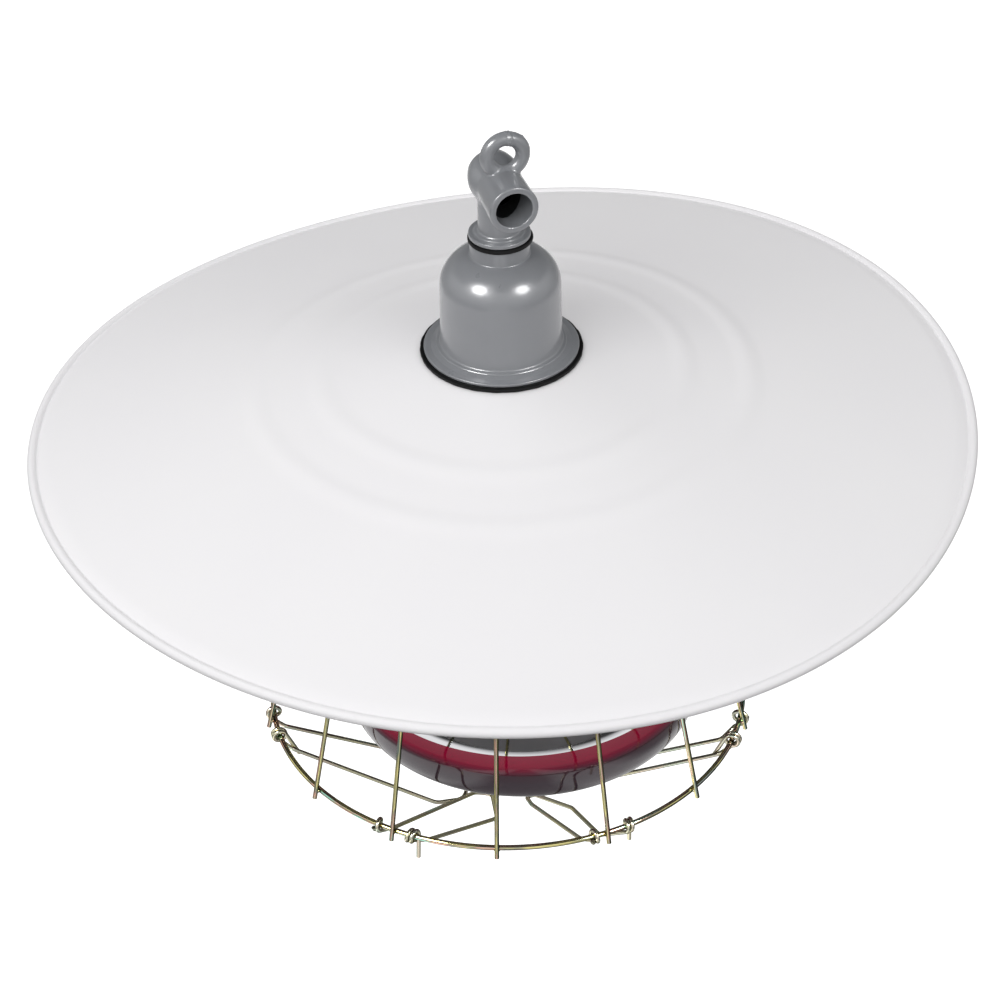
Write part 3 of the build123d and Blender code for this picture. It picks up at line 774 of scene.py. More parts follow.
HEAD_VOXEL = 0.3
HEAD_FLANGE = 10.15
FLANGE_THICK = 1.5
HEAD_STEM = 7.0
# Step round the stem on the flange: beyond the stem, and above the flange's seat
COLLAR_OUT = 1.2
COLLAR_TOP = 2.1
HEAD_SPIGOT = 7.4
HEAD_PASSAGE = 4.5
SPIGOT_LENGTH = 6.6
TUBE_REAR = -8.0
TUBE_FRONT = 19.3
MOUTH_FLARE = 0.5
# The moulding leaves the tube a little low, off to the side and dipping towards its mouth
TUBE_SINK = 0.5
TUBE_ASIDE = -0.8
TUBE_DIP = 0.052
CORE_END = 9.6
CORE_STEP = 0.4
# Slant of the place where the core pins met, along the tube per mm above and beside its middle
CORE_SLANT = (0.42, 0.5)
BLIND_END = TUBE_REAR + 2.6
# Ball that closes the tube behind: its place along and beside the tube, and its radius beyond the tube's
BALL_ALONG = -1.3
BALL_ASIDE = -0.2
BALL_SWELL = 1.0
# Web under the tube: its middle along the tube, and half its length, thickness and height
WEB_MIDDLE = 9.5
WEB_LENGTH = 4.0
WEB_THICK = 1.0
WEB_HEIGHT = 2.2
EYE_OUTER = 8.2
EYE_SINK = 0.9
EYE_ASIDE = 0.45
# Line round the eye where the mould's halves met: half its width, and its height
PARTING_WIDTH = 0.35
PARTING_HEIGHT = 0.1
# Bit of flash left on the eye: beside and above its middle, and its radius
FLASH_ASIDE = 6.1
FLASH_ABOVE = 4.7
FLASH_RADIUS = 0.6
# Fine ridges over the top of the eye
SEAM_PLACES = (0.9, 1.9)
SEAM_WIDTH = 0.3
SEAM_HEIGHT = 0.22


def bar(across, along, radius, low, high, rounding):
    """Distance to a round bar with rounded ends."""
    side = across - radius + rounding
    ends = np.abs(along - (low + high) / 2) - (high - low) / 2 + rounding
    outside = np.hypot(np.maximum(side, 0), np.maximum(ends, 0))
    return outside + np.minimum(np.maximum(side, ends), 0) - rounding


def blended(a, b, fillet):
    """Union of two distances with a fillet between them."""
    share = np.clip(0.5 + 0.5 * (b - a) / fillet, 0, 1)
    return b * (1 - share) + a * share - fillet * share * (1 - share)


def core_end(beside, above):
    """Station along the tube at which the long core pin met the short one of the mouth, on a slant."""
    return CORE_END - CORE_SLANT[0] * above - CORE_SLANT[1] * beside


class LAMP_OT_cable_head(bpy.types.Operator):
    """Mould the head in one: flange, stem, cable tube and suspension eye with their fillets"""

    bl_idname = "lamp.cable_head"
    bl_label = "Cable head"

    def execute(self, context):
        sizes = context.scene.lamp_holder
        entry = next(m for m in frame["record"]["mounts"] if m["name"] == "cable_entry")
        way = entry["axis"]
        eye_height = -SEAT.z / MM
        eye_along = -(SEAT.x * way[0] + SEAT.y * way[1]) / MM
        tube_level = eye_height + entry["pos_m"][2] / MM
        seat = top("head_washer")
        tube = sizes.tube_bore + sizes.tube_wall
        low = np.array([TUBE_REAR - 2, -HEAD_FLANGE - 2, seat - SPIGOT_LENGTH - 4])
        high = np.array([TUBE_FRONT + 2, HEAD_FLANGE + 2, eye_height + EYE_OUTER + 2])
        counts = np.ceil((high - low) / HEAD_VOXEL).astype(int)
        s, y, z = np.meshgrid(*(low[i] + HEAD_VOXEL * np.arange(counts[i]) for i in range(3)), indexing="ij")
        plan = np.hypot(s, y)
        flange = bar(plan, z, HEAD_FLANGE, seat, seat + FLANGE_THICK, 0.35)
        collar = bar(plan, z, HEAD_STEM + COLLAR_OUT, seat, seat + COLLAR_TOP, 0.4)
        stem = bar(plan, z, HEAD_STEM, seat - 1, tube_level, 0.3)
        spigot = bar(plan, z, HEAD_SPIGOT, seat - SPIGOT_LENGTH, seat + 0.5, 0.3)
        beside = y - TUBE_ASIDE
        above = z - tube_level + TUBE_SINK + TUBE_DIP * s
        across = np.hypot(beside, above)
        flare = MOUTH_FLARE * np.clip((s - 4) / (TUBE_FRONT - 4), 0, 1)
        barrel = bar(across - flare, s, tube, TUBE_REAR - 1.6, TUBE_FRONT, 0.7)
        from_ball = np.sqrt((s - BALL_ALONG) ** 2 + (beside - BALL_ASIDE) ** 2 + above ** 2)
        rear = from_ball - tube - BALL_SWELL
        barrel = np.maximum(barrel, np.where(s < BALL_ALONG, rear, -9.0))
        web = np.maximum.reduce([
            np.abs(beside) - WEB_THICK,
            np.abs(s - WEB_MIDDLE) - WEB_LENGTH,
            np.abs(above + tube) - WEB_HEIGHT,
        ])
        ring_turn = np.hypot(y - EYE_ASIDE, z - eye_height + EYE_SINK) - EYE_OUTER + sizes.eye_section
        eye = np.hypot(ring_turn, s - eye_along) - sizes.eye_section
        body = blended(blended(flange, collar, 0.6), stem, 1.0)
        body = np.minimum(body, spigot)
        rim = np.abs(ring_turn) - sizes.eye_section - PARTING_HEIGHT
        parting = np.maximum(np.abs(s - eye_along) - PARTING_WIDTH, rim)
        flash_rise = z - eye_height - FLASH_ABOVE
        from_flash = np.sqrt((s - eye_along) ** 2 + (y - FLASH_ASIDE) ** 2 + flash_rise ** 2)
        flash = from_flash - FLASH_RADIUS
        fillets = ((barrel, 0.8), (rear, 1.2), (web, 0.5), (eye, 0.8), (parting, 0.25), (flash, 0.3))
        for part, fillet in fillets:
            body = blended(body, part, fillet)
        seam = sum(np.exp(-((y - place) / SEAM_WIDTH) ** 2) for place in SEAM_PLACES)
        body = body - SEAM_HEIGHT * seam * (z > eye_height + 2)
        bore = bar(across, s, sizes.tube_bore, BLIND_END, TUBE_FRONT + 4, 2.0)
        cored = bar(across, s, sizes.tube_bore + CORE_STEP, BLIND_END, TUBE_FRONT, 2.0)
        bore = np.minimum(bore, np.maximum(cored, s - core_end(beside, above)))
        passage = bar(plan, z, HEAD_PASSAGE, seat - SPIGOT_LENGTH - 3, tube_level, 0.1)
        body = np.maximum(body, -np.minimum(bore, passage))
        body = np.maximum(body, seat - SPIGOT_LENGTH - z)
        grid = openvdb.FloatGrid(3.0)
        grid.copyFromArray(body.astype(np.float32))
        points, quads = grid.convertToQuads(isovalue=0.0)
        local = low + np.asarray(points) * HEAD_VOXEL
        turned = np.c_[
            local[:, 0] * way[0] - local[:, 1] * way[1],
            local[:, 0] * way[1] + local[:, 1] * way[0],
            local[:, 2],
        ]
        mesh = closed_mesh("moulded_head", turned, np.asarray(quads).tolist(), radians(60))
        x, y, z = ((np.array([v.co for v in mesh.vertices]) - SEAT) / MM).T
        s, beside = x * way[0] + y * way[1], y * way[0] - x * way[1] - TUBE_ASIDE
        above = z - tube_level + TUBE_SINK + TUBE_DIP * s
        # Mark the bore and the passage beyond where the core pins met, for the painted shade there
        in_bore = (np.hypot(beside, above) < sizes.tube_bore + 0.6) & (s > TUBE_REAR + 1.4)
        in_passage = (np.hypot(x, y) < HEAD_PASSAGE + 0.2) & (above < 0)
        depth = np.clip((core_end(beside, above) - s + 0.3) / 0.6, 0, 1) * (in_bore | in_passage)
        mesh.attributes.new("cored", "FLOAT", "POINT").data.foreach_set("value", depth.astype(np.float32))
        piece(mesh, surface(moulded_phenolic), "hanger", "moulded_grey", "cable_head")
        return {"FINISHED"}


# Clamp and socket

# Colour, roughness and share of the colour that is left where it is worn
BRIGHT_STEEL = ("b9bbbd", 0.28, 0.8)
NUT_RADIUS = 25.0
NUT_GRIPS = 12
NUT_GRIP_DEPTH = 1.3
# Rows of the mesh to one turn of a rolled thread
THREAD_STEPS = 14
THREAD_CLEARANCE = 0.12
SHELL_WALL = 0.45
SCREW_CAP_WALL = 0.35


class LAMP_OT_clamp(bpy.types.Operator):
    """Turn the grip nut and the washer that hold the shade and the guard"""

    bl_idname = "lamp.clamp"
    bl_label = "Clamp"

    def execute(self, context):
        low, high = bottom("ring_nut"), top("ring_nut")
        outline = rounded(
            (SHADE_HOLE, low, 0.5), (NUT_RADIUS - 0.8, low, 0.8), (NUT_RADIUS, low + 1.4, 0.5),
            (NUT_RADIUS, high, 0.5), (SHADE_HOLE, high, 0.3),
        )

        def grips(radius, turn, height):
            dent = np.clip(np.cos(NUT_GRIPS * turn) - 0.55, 0, 1) / 0.45
            edge = np.clip((radius - NUT_RADIUS + 2) / 2, 0, 1)
            return -NUT_GRIP_DEPTH * dent * edge, 0 * radius

        mesh = lathe("grip_nut", outline, 288, grips)
        piece(mesh, surface(black_nylon), "lamp", "black_plastic", "ring_nut")
        low, high = bottom("clamp_washer"), top("clamp_washer")
        rim = reach("clamp_washer")
        hole = SHADE_HOLE
        outline = rounded((hole, low, 0.2), (rim, low, 0.35), (rim, high, 0.15), (hole, high, 0.15))
        steel = surface(worked_metal, *BRIGHT_STEEL, name="Bright zinc steel")
        piece(lathe("flat_washer", outline, 160), steel, "lamp", "plain_steel", "clamp_washer")
        return {"FINISHED"}


class LAMP_OT_socket(bpy.types.Operator):
    """Roll the socket's thread and dress the porcelain, contacts and screws"""

    bl_idname = "lamp.socket"
    bl_label = "Socket"

    def execute(self, context):
        sizes = context.scene.lamp_bulb
        brass = surface(worked_metal, "c9a25a", 0.25, 0.75, name="Pressed brass")
        steel = surface(worked_metal, *BRIGHT_STEEL, name="Bright zinc steel")
        low, high = bottom("socket_shell"), top("socket_shell")
        crest = reach("bulb_screw_cap") + THREAD_CLEARANCE
        levels = np.arange(low, high, sizes.thread_pitch / THREAD_STEPS)
        outline = [(crest, z) for z in levels] + [(crest + SHELL_WALL, z) for z in reversed(levels)]
        mesh = lathe("threaded_shell", outline, 96, rolled_thread(sizes, low, high, 1.0))
        piece(mesh, brass, "lamp", "brass", "socket_shell")
        dress(surface(glazed_porcelain), "socket_body")
        dress(brass, "centre_contact", "terminal_blocks", "terminal_rivets")
        dress(steel, "terminal_screws", "socket_screws")
        return {"FINISHED"}


def rolled_thread(sizes, low, high, lead):
    """Radius and height changes of a right-hand rolled thread that fades out at both ends."""

    def shape(radius, turn, height):
        wave = 0.5 + 0.5 * np.cos(tau * height / sizes.thread_pitch - turn)
        fade = np.clip(np.minimum(height - low, high - height) / lead, 0, 1)
        return -sizes.thread_depth * wave * fade, 0 * radius

    return shape


# Bulb

# Lean of the blown glass on its cap, along x and y per unit of height
CROOKED = (-0.042, 0.0)
# Narrow end of the bowl below the screw cap
THROAT_DROP = 7.0
SEAL_OUTER = 12.3
SEAL_INNER = 11.1
# Where the silvering stops: inside the widest radius, and the way that the glass runs there
SILVER_INSET = 2.65
SILVER_WAY = (0.795, -1)


class LAMP_OT_bulb(bpy.types.Operator):
    """Blow the reflector bulb: silvered bowl, ruby front, screw cap and mount inside"""

    bl_idname = "lamp.bulb"
    bl_label = "Bulb"

    def execute(self, context):
        sizes = context.scene.lamp_bulb
        silver_edge, seal_top = bottom("bulb_reflector"), top("bulb_reflector")
        lowest = bottom("bulb_front")
        cap_low, cap_high = bottom("bulb_screw_cap"), top("bulb_screw_cap")
        throat = cap_low - THROAT_DROP
        silver = sizes.radius - SILVER_INSET
        neck = SEAT + Vector((0, 0, cap_low * MM))
        crooked = Matrix.Translation(neck) @ Matrix.Shear("XY", 4, CROOKED) @ Matrix.Translation(-neck)

        def bowl(inset):
            points = [
                (16.5 - inset, throat), (18.5 - inset, throat - 21.6), (27.0 - inset, lowest + 69.0),
                (47.0 - inset, lowest + 40.8), (silver - inset, silver_edge),
            ]
            return flowing(points, (0, -1), SILVER_WAY)

        def front(inset):
            points = [
                (silver - inset, silver_edge), (sizes.radius - inset, lowest + 20.0),
                (sizes.radius - 3.4 - inset, lowest + 8.6), (39.5, lowest + 1.4 + inset), (0, lowest + inset),
            ]
            return flowing(points, SILVER_WAY, (-1, 0))

        outer, inner = bowl(0), bowl(sizes.glass)
        seal = [(SEAL_INNER, seal_top, 0), (SEAL_OUTER, seal_top, 0), (SEAL_OUTER, cap_low, 0)]
        outline = (*seal, *outer, *reversed(inner), (SEAL_INNER, cap_low, 0))
        mesh = lathe("silvered_bowl", outline, 192)
        mesh.transform(crooked)
        piece(mesh, surface(silvered_glass), "bulb", "silvered_glass", "bulb_reflector")
        outline = (*front(0), *reversed(front(sizes.glass)))
        mesh = lathe("ruby_front", outline, 192)
        mesh.transform(crooked)
        piece(mesh, surface(ruby_glass), "bulb", "ruby_glass", "bulb_front")
        crest = reach("bulb_screw_cap")
        levels = np.arange(cap_low, cap_high, sizes.thread_pitch / THREAD_STEPS)
        outline = [(crest, z) for z in levels] + [(crest - SCREW_CAP_WALL, z) for z in reversed(levels)]
        mesh = lathe("threaded_cap", outline, 96, rolled_thread(sizes, cap_low, cap_high, 2.5))
        rolled = surface(worked_metal, "c4c5c8", 0.22, 0.85, name="Rolled aluminium")
        piece(mesh, rolled, "bulb", "cap_metal", "bulb_screw_cap")
        tip_low, tip_high = bottom("bulb_contact"), top("bulb_contact")
        tip = reach("bulb_contact")
        outline = rounded((0, tip_low, 0), (tip, tip_low, 0.2), (tip, tip_high - 0.3, 0.6), (0, tip_high, 0))
        piece(lathe("solder_tip", outline, 64), rolled, "bulb_tip", "cap_metal", "bulb_contact")
        dress(surface(inner_glass, "121214", 0.0, name="Fused black glass"), "bulb_insulator")
        dress(surface(inner_glass, "e8ecea", 0.9, name="Clear flint glass"), "bulb_stem")
        tungsten = surface(worked_metal, "6f6f73", 0.3, 0.7, name="Drawn tungsten")
        dress(tungsten, "lead_wires", "filament_support", "filament")
        return {"FINISHED"}


# Guard

HOOP_STUB = 3.6
RING_STUB = 2.6
WELD_GAP = 0.05
SPOKE_FLAT = 5.4
SPOKE_BENDS = (6.0, 5.0)
HOOP_STEPS = 240
POST_STEPS = 12
# Degrees by which the welder laid an upright off its even place
LONG_WIRE_LAY = {1: -1.2, 3: 0.8, 5: -0.6}
SHORT_WIRE_LAY = {1: -1.1, 2: -1.4, 4: 0.7, 6: 1.0, 7: 2.6}


def hinges():
    """Hinge of each loop: its number, place in millimetres from the seat, and direction along the ring."""
    for joint in frame["joints"]:
        if joint["name"].startswith("loop_"):
            place = (Vector(joint["pos_m"]) - SEAT) / MM
            yield int(joint["name"].split("_")[1]), place, -Vector(joint["axis"])


class LAMP_OT_guard(bpy.types.Operator):
    """Bend and weld the guard: ring, hoops, long and short uprights"""

    bl_idname = "lamp.guard"
    bl_label = "Welded guard"

    def execute(self, context):
        sizes = context.scene.lamp_guard
        zinc = surface(passivated_zinc_wire)
        ring_z = (bottom("guard_ring") + top("guard_ring")) / 2
        hoop_z = (bottom("guard_hoop") + top("guard_hoop")) / 2
        inner_z = (bottom("guard_inner_hoop") + top("guard_inner_hoop")) / 2
        ring_r = reach("guard_ring") - sizes.ring_wire / 2
        hoop_r = reach("guard_hoop") - sizes.wire / 2
        inner_r = reach("guard_inner_hoop") - sizes.wire / 2
        lean = (ring_r + sizes.ring_wire / 2 - hoop_r - sizes.wire / 2) / (hoop_z - ring_z)
        at_ring = ring_r + sizes.ring_wire / 2 + sizes.wire / 2 * sqrt(1 + lean ** 2) + WELD_GAP

        def upright(z, turn):
            radius = at_ring - (z - ring_z) * lean
            return Vector((radius * cos(turn), radius * sin(turn), z))

        def circle(radius, z):
            turns = np.linspace(0, tau, HOOP_STEPS, endpoint=False)
            return np.c_[radius * np.cos(turns), radius * np.sin(turns), np.full(HOOP_STEPS, z)]

        uprights, welds = [], []
        spokes = [atan2(place.y, place.x) for _, place, _ in hinges()]
        for number, hinge_turn in enumerate(spokes, 1):
            turn = hinge_turn + radians(LONG_WIRE_LAY.get(number, 0))
            head, foot = upright(hoop_z + HOOP_STUB, turn), upright(ring_z - RING_STUB, turn)
            out = Vector((cos(turn), sin(turn), 0))
            start = out * (inner_r + sizes.wire / 2 + WELD_GAP) + Vector((0, 0, inner_z))
            level = start + out * SPOKE_FLAT
            uprights.append(bent((start, 0), (level, SPOKE_BENDS[0]), (head, SPOKE_BENDS[1]), (foot, 0)))
            between = hinge_turn - pi / len(spokes) + radians(SHORT_WIRE_LAY.get(number, 0))
            head, foot = upright(hoop_z + HOOP_STUB, between), upright(ring_z - RING_STUB, between)
            uprights.append([head.lerp(foot, k / POST_STEPS) for k in range(POST_STEPS + 1)])
            for way in (turn, between):
                contact = at_ring - sizes.wire / 2
                welds.append((contact * cos(way), contact * sin(way), ring_z))
                contact = hoop_r + sizes.wire / 2
                welds.append((contact * cos(way), contact * sin(way), hoop_z))
            welds.append(tuple(out * (inner_r + sizes.wire / 2) + Vector((0, 0, inner_z))))
        ring = wires("ring", [circle(ring_r, ring_z)], sizes.ring_wire, zinc, closed=True, sides=18)
        circles = [circle(hoop_r, hoop_z), circle(inner_r, inner_z)]
        hoops = wires("hoops", circles, sizes.wire, zinc, closed=True)
        posts = wires("uprights", uprights, sizes.wire, zinc)
        spots = bpy.data.meshes.new("welds")
        spots.from_pydata(on_lamp(welds).tolist(), [], [])
        nuggets = grown("welds", spots, weld_tree(), Radius=sizes.weld * MM, Finish=zinc)
        guard_nodes = [n for n in frame["nodes"] if n.startswith("guard_") and "loop" not in n]
        mesh = joined("welded_guard", ring, hoops, posts, nuggets)
        piece(mesh, zinc, "lamp", "passivated_wire", *guard_nodes)
        return {"FINISHED"}


LOOP_SLOPES = {1: 26.0}
LOOP_SLOPE = 30.0
# Corners of a loop between its eyelets: mm along the ring, mm from the ring and bend radius
LOOP_CORNERS = ((-5.4, 65.0, 9.0), (-5.1, 81.5, 3.2), (1.9, 81.5, 3.2), (5.4, 53.5, 9.0))
LOOP_CORNERS_BY_NUMBER = {
    1: ((-8.4, 8.0, 8.0), (-6.2, 58.0, 6.0), (-4.4, 67.2, 2.4), (-1.2, 67.4, 2.6), (2.5, 41.0, 7.0),
        (-2.2, 5.5, 2.5)),
    2: ((-9.6, 6.0, 4.0), (-4.6, 74.0, 5.0), (-3.4, 80.0, 3.2), (3.0, 80.0, 3.2), (3.6, 58.0, 9.0),
        (-0.8, 7.4, 2.4), (5.3, 3.4, 1.0)),
    6: ((-2.8, 5.0, 4.0), (-5.2, 62.0, 9.0), (-3.0, 80.0, 4.0), (6.0, 80.5, 6.0), (11.2, 67.5, 9.0),
        (9.0, 6.0, 4.0)),
    7: ((-4.4, 9.0, 9.0), (-7.9, 84.0, 4.5), (-3.4, 90.0, 4.0), (11.9, 61.0, 11.0), (9.2, 9.0, 9.0)),
}
LOOP_TWISTS = {6: -0.0065}
# How far the loops' copy of the finish is paler and less shaded, from 0 to 1: painted light on the loops
LOOP_PALER = 0.6
# Distance that a loop has slid along the ring from its even place, in mm
LOOP_SLIDES = {2: -3.3, 6: 1.8}
# Wider eyelets on the slid loops, mm, so that they clear the ring as they swing
EYELET_ROOM = {2: 0.48, 6: 0.22}
EYELET_CLEARANCE = 0.3
EYELET_TURNS = 1.15
EYELET_STEPS = 28
COIL_GAP = 0.12
TAIL_TURNS = {1: 1.68, 7: 1.68}
SIDE_TAIL_TURNS = 1.6
TAILS = {1: 8.5, 2: 9.0, 6: 10.5, 7: 10.0}
TAIL = 7.5
# Side of the eyelet that carries the tail
TAIL_SIDES = {2: -1}


class LAMP_OT_loops(bpy.types.Operator):
    """Wind the hinged loops, with an eyelet round the ring at each leg and a cut tail"""

    bl_idname = "lamp.loops"
    bl_label = "Hinged loops"

    def execute(self, context):
        sizes = context.scene.lamp_guard
        # A paler, less shaded copy of the wire's finish: painted light on the loops
        zinc = surface(passivated_zinc_wire, LOOP_PALER, name="Passivated zinc wire, painted light")
        snug = sizes.ring_wire / 2 + EYELET_CLEARANCE + sizes.loop_wire / 2
        half = sizes.loop_width / 2
        for number, place, along in hinges():
            eyelet = snug + EYELET_ROOM.get(number, 0)
            slope = radians(LOOP_SLOPES.get(number, LOOP_SLOPE))
            slid = Matrix.Rotation(LOOP_SLIDES.get(number, 0) / hypot(place.x, place.y), 3, "Z")
            place, along = slid @ place, slid @ along
            inward = -Vector((place.x, place.y, 0)).normalized()
            ahead = inward * cos(slope) - Vector((0, 0, sin(slope)))
            up = inward * sin(slope) + Vector((0, 0, cos(slope)))
            chord = hypot(place.x, place.y)
            ring = hypot(chord, half)
            twist = LOOP_TWISTS.get(number, 0)

            def leaf(x, y):
                return place + along * x + ahead * y + up * (twist * x * y - eyelet)

            def wrap(side, turns, tail):
                count = int(turns * EYELET_STEPS)
                path = []
                for k in range(count + 1):
                    turn = tau * turns * k / count
                    x = side * (half + turn / tau * (sizes.loop_wire + COIL_GAP))
                    spot = place + along * x + inward * (chord - sqrt(ring ** 2 - x ** 2))
                    path.append(spot - ahead * sin(turn) * eyelet - up * cos(turn) * eyelet)
                way = -ahead * cos(tau * turns) + up * sin(tau * turns)
                if tail:
                    path += [path[-1] + way * tail * k / 4 for k in range(1, 5)]
                return path

            corners = LOOP_CORNERS_BY_NUMBER.get(number, LOOP_CORNERS)
            legs = bent(
                (leaf(-half, 0), 0), *((leaf(x, y), bend) for x, y, bend in corners), (leaf(half, 0), 0),
            )
            ends = {side: (EYELET_TURNS, 0) for side in (-1, 1)}
            turns = TAIL_TURNS.get(number, SIDE_TAIL_TURNS)
            ends[TAIL_SIDES.get(number, 1)] = (turns, TAILS.get(number, TAIL))
            path = [*reversed(wrap(-1, *ends[-1])), *legs[1:-1], *wrap(1, *ends[1])]
            mesh = wires(f"hinged_loop_{number}", [path], sizes.loop_wire, zinc)
            piece(mesh, zinc, f"loop_{number}", "passivated_wire", f"guard_loop_{number}")
        return {"FINISHED"}


# Stage

VIEW_ELEVATION = radians(35.87)
VIEW_DISTANCE = 0.9646
VIEW_LEVEL = -0.13884
VIEW_ROLL = radians(-1.05)
PHOTO_SIDE = 1002
PHOTO_FOCAL = 2800
PHOTO_OFFSET = 3.4
FLOOR_LEVEL = -0.75
FLOOR_SIDE = 9.0
FLOOR_GLOW = 0.6
FLOOR_BOUNCE = "4c4c4c"
# Light and dark strips that the floor shows to mirrors, from left to right, and its ends
FLOOR_STRIPS = (
    (0.16, 0.3), (0.22, 1.0), (0.36, 1.0), (0.41, 0.35), (0.57, 0.45), (0.62, 1.0), (0.76, 1.0), (0.82, 0.3),
)
FLOOR_ENDS = 0.3
AMBIENT_ABOVE = 0.57
AMBIENT_BELOW = 0.035
CEILING = 0.05
WALL_FOOT = 0.5
BACK_WALL = 0.28
CEILING_WAY = (0.0, 0.26, 1.0)


def background_rays(tree):
    """Light path outputs, and 1 where the background is seen: by the camera, in a mirror or through glass."""
    rays = node(tree, "ShaderNodeLightPath").outputs
    seen = rays["Is Camera Ray"]
    for other in ("Is Glossy Ray", "Is Transmission Ray"):
        seen = node(tree, "ShaderNodeMath", {"operation": "MAXIMUM"}, i0=seen, i1=rays[other])
    return rays, seen


def studio_paper(tree, place):
    """Matt white backdrop paper: white to the camera, striped light and dark to mirrors, clear from below."""
    rays, seen = background_rays(tree)
    grain = node(tree, "ShaderNodeTexNoise", Vector=place, Scale=6.0, Detail=2.0)
    paper = node(tree, "ShaderNodeMix", RGBA, Factor=grain, i6=opaque("f4f4f4"), i7=opaque("f0f0f0"))
    across = node(tree, "ShaderNodeSeparateXYZ", Vector=place).outputs["X"]
    share = node(tree, "ShaderNodeMapRange", Value=across, From_Min=-1.0, From_Max=1.0)
    strips = node(tree, "ShaderNodeValToRGB", Fac=share)
    ramp = strips.color_ramp.elements
    ramp[0].color = ramp[1].color = opaque((FLOOR_ENDS,) * 3)
    for stop, bright in FLOOR_STRIPS:
        ramp.new(stop).color = opaque((bright,) * 3)
    reflected = node(tree, "ShaderNodeMix", RGBA, Factor=rays["Is Glossy Ray"], i6=(1, 1, 1, 1), i7=strips)
    glow = node(tree, "ShaderNodeMath", {"operation": "MULTIPLY"}, i0=seen, i1=FLOOR_GLOW)
    sheet = node(
        tree, "ShaderNodeMix", {"data_type": "RGBA", "blend_type": "MULTIPLY"}, Factor=1.0, i6=paper,
        i7=reflected,
    )
    ground = node(tree, "ShaderNodeMix", RGBA, Factor=seen, i6=opaque(FLOOR_BOUNCE), i7=sheet)
    upper = node(
        tree, "ShaderNodeBsdfPrincipled", Base_Color=ground, Roughness=0.9, Emission_Color=reflected,
        Emission_Strength=glow,
    )
    under = node(tree, "ShaderNodeNewGeometry").outputs["Backfacing"]
    clear = node(tree, "ShaderNodeBsdfTransparent")
    return node(tree, "ShaderNodeMixShader", i0=under, i1=upper, i2=clear)


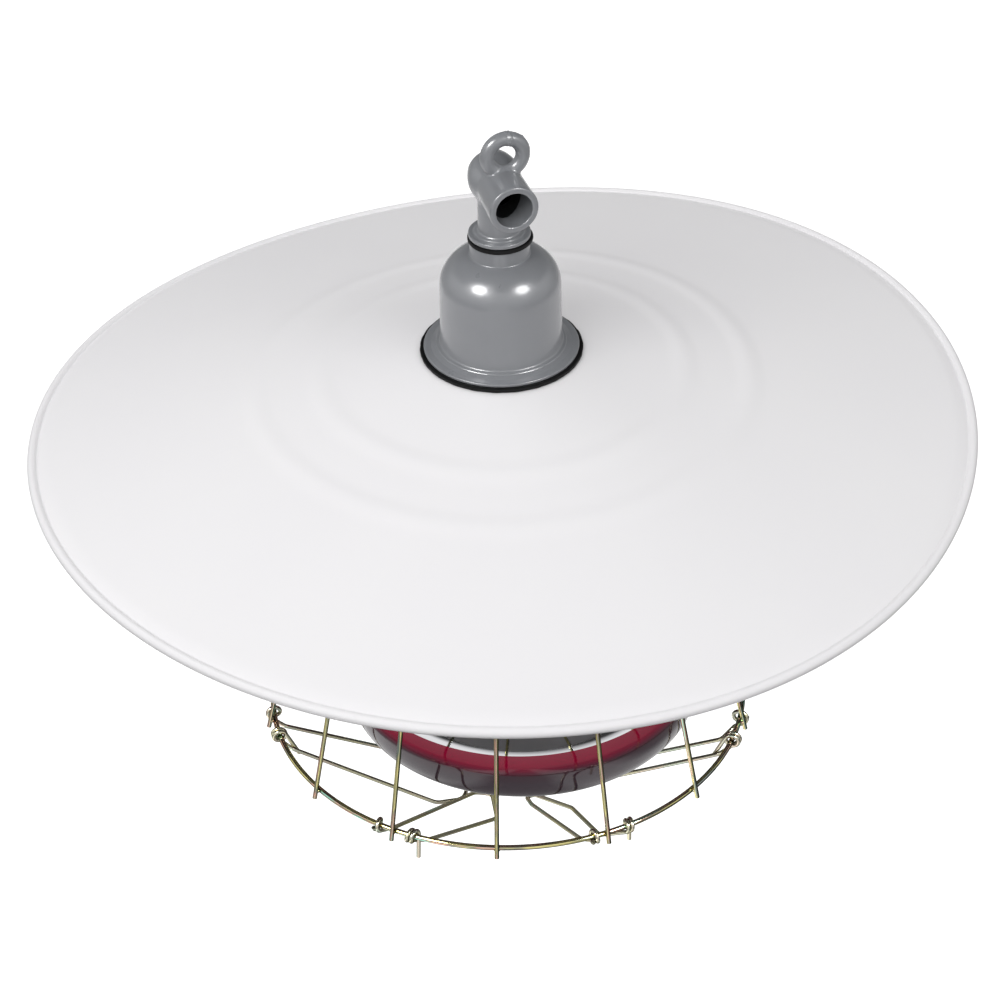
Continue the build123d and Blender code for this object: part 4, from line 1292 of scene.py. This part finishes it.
class LAMP_OT_stage(bpy.types.Operator):
    """Set the pale floor, the soft lamps, the white surround and the camera"""

    bl_idname = "lamp.stage"
    bl_label = "Stage"

    def execute(self, context):
        scene = context.scene
        scene.view_settings.view_transform = "Standard"
        self.lay_floor(scene)
        self.hang_lamps(scene)
        self.surround(scene)
        self.aim_camera(scene)
        return {"FINISHED"}

    def lay_floor(self, scene):
        side = FLOOR_SIDE / 2
        mesh = bpy.data.meshes.new("floor")
        corners = [(-side, -side), (side, -side), (side, side), (-side, side)]
        mesh.from_pydata([(x, y, FLOOR_LEVEL) for x, y in corners], [], [(0, 1, 2, 3)])
        mesh.materials.append(surface(studio_paper))
        floor = bpy.data.objects.new("floor", mesh)
        scene.collection.objects.link(floor)

    def hang_lamps(self, scene):
        # Name, place, width in metres, watts, and whether it lights surfaces or shows in their gloss
        lamps = (
            ("key_light", (-0.73, -0.87, 0.83), 1.25, 10.0, True, False),
            ("fill_light", (0.80, -0.87, 0.77), 1.0, 5.5, True, False),
            ("back_light", (-1.1, 1.0, 0.62), 1.2, 5.0, True, False),
            ("left_lamp", (-0.92, -0.82, 0.95), 0.75, 26.0, False, True),
            ("right_lamp", (0.94, -0.80, 0.9), 0.65, 16.0, False, True),
        )
        shown = bpy.data.collections.new("Shows the lamps")
        for made in scene.objects:
            if made.name.startswith(("moulded_", "welded_", "hinged_")):
                shown.objects.link(made)
        for name, place, width, power, lit, mirrored in lamps:
            light = bpy.data.lights.new(name, "AREA")
            light.shape = "DISK"
            light.size = width
            light.energy = power
            lamp = bpy.data.objects.new(name, light)
            lamp.visible_diffuse = lit
            lamp.visible_glossy = mirrored
            if mirrored:
                lamp.light_linking.receiver_collection = shown
            way = SEAT - Vector(place)
            lamp.matrix_world = Matrix.Translation(place) @ way.to_track_quat("-Z", "Y").to_matrix().to_4x4()
            scene.collection.objects.link(lamp)

    def surround(self, scene):
        world = bpy.data.worlds.new("White surround")
        world.use_nodes = True
        tree = world.node_tree
        tree.nodes.clear()
        rays, seen = background_rays(tree)
        way = node(tree, "ShaderNodeTexCoord").outputs["Generated"]
        compass = node(tree, "ShaderNodeSeparateXYZ", Vector=way).outputs
        rise = compass["Z"]
        ambient = node(
            tree, "ShaderNodeMapRange", Value=rise, From_Min=-0.12, From_Max=0.03, To_Min=AMBIENT_BELOW,
            To_Max=AMBIENT_ABOVE,
        )
        overhead = node(tree, "ShaderNodeVectorMath", {"operation": "DOT_PRODUCT"}, i0=way, i1=CEILING_WAY)
        ceiling = node(
            tree, "ShaderNodeMapRange", {"interpolation_type": "SMOOTHSTEP"}, Value=overhead, From_Min=0.42,
            From_Max=0.51, To_Min=1.0, To_Max=CEILING,
        )
        wall = node(
            tree, "ShaderNodeMapRange", Value=rise, From_Min=-0.3, From_Max=0.45, To_Min=WALL_FOOT,
            To_Max=1.0,
        )
        behind = node(
            tree, "ShaderNodeMapRange", {"interpolation_type": "SMOOTHSTEP"}, Value=compass["Y"],
            From_Min=0.1, From_Max=0.8, To_Min=1.0, To_Max=BACK_WALL,
        )
        walls = node(tree, "ShaderNodeMath", {"operation": "MULTIPLY"}, i0=wall, i1=behind)
        room = node(tree, "ShaderNodeMath", {"operation": "MULTIPLY"}, i0=ceiling, i1=walls)
        mirrored = node(tree, "ShaderNodeMix", Factor=seen, i2=ambient, i3=room)
        level = node(tree, "ShaderNodeMath", {"operation": "MAXIMUM"}, i0=mirrored, i1=rays["Is Camera Ray"])
        light = node(tree, "ShaderNodeBackground", Color=(1, 1, 1, 1), Strength=level)
        node(tree, "ShaderNodeOutputWorld", Surface=light)
        scene.world = world

    def aim_camera(self, scene):
        lens = bpy.data.cameras.new("photo_camera")
        lens.sensor_width = 36.0
        lens.lens = PHOTO_FOCAL / PHOTO_SIDE * lens.sensor_width
        lens.shift_x = -PHOTO_OFFSET / PHOTO_SIDE
        camera = bpy.data.objects.new("photo_camera", lens)
        forward = Vector((0, cos(VIEW_ELEVATION), -sin(VIEW_ELEVATION)))
        right = Vector((1, 0, 0))
        turn = Matrix((right, right.cross(forward), -forward)).transposed().to_4x4()
        place = Vector((SEAT.x, SEAT.y, VIEW_LEVEL)) - forward * VIEW_DISTANCE
        camera.matrix_world = Matrix.Translation(place) @ turn @ Matrix.Rotation(VIEW_ROLL, 4, "Z")
        scene.collection.objects.link(camera)
        scene.camera = camera


OPERATORS = (
    LAMP_OT_shade, LAMP_OT_holder_cap, LAMP_OT_seals, LAMP_OT_cable_head, LAMP_OT_clamp, LAMP_OT_socket,
    LAMP_OT_bulb, LAMP_OT_guard, LAMP_OT_loops, LAMP_OT_stage,
)
SETTINGS = {
    "lamp_shade": ShadeSizes, "lamp_holder": HolderSizes, "lamp_bulb": BulbSizes, "lamp_guard": GuardSizes,
    "lamp_finishes": Finishes,
}


class LAMP_PT_panel(bpy.types.Panel):
    """Lists the lamp's sizes, colours and pieces"""

    bl_idname = "LAMP_PT_panel"
    bl_label = "Heat lamp"
    bl_space_type = "VIEW_3D"
    bl_region_type = "UI"
    bl_category = "Heat lamp"

    def draw(self, context):
        for name, group in SETTINGS.items():
            box = self.layout.box()
            for key in group.__annotations__:
                box.prop(getattr(context.scene, name), key)
        for operator in OPERATORS:
            self.layout.operator(operator.bl_idname)


def register():
    for group in SETTINGS.values():
        bpy.utils.register_class(group)
    for operator in OPERATORS:
        bpy.utils.register_class(operator)
    bpy.utils.register_class(LAMP_PT_panel)
    for name, group in SETTINGS.items():
        setattr(bpy.types.Scene, name, bpy.props.PointerProperty(type=group))


def unregister():
    for name in SETTINGS:
        delattr(bpy.types.Scene, name)
    for made in (LAMP_PT_panel, *reversed(OPERATORS), *SETTINGS.values()):
        bpy.utils.unregister_class(made)


def main():
    register()
    bpy.ops.lamp.shade()
    bpy.ops.lamp.holder_cap()
    bpy.ops.lamp.seals()
    bpy.ops.lamp.cable_head()
    bpy.ops.lamp.clamp()
    bpy.ops.lamp.socket()
    bpy.ops.lamp.bulb()
    bpy.ops.lamp.guard()
    bpy.ops.lamp.loops()
    bpy.ops.lamp.stage()


if __name__ == "__main__":
    main()
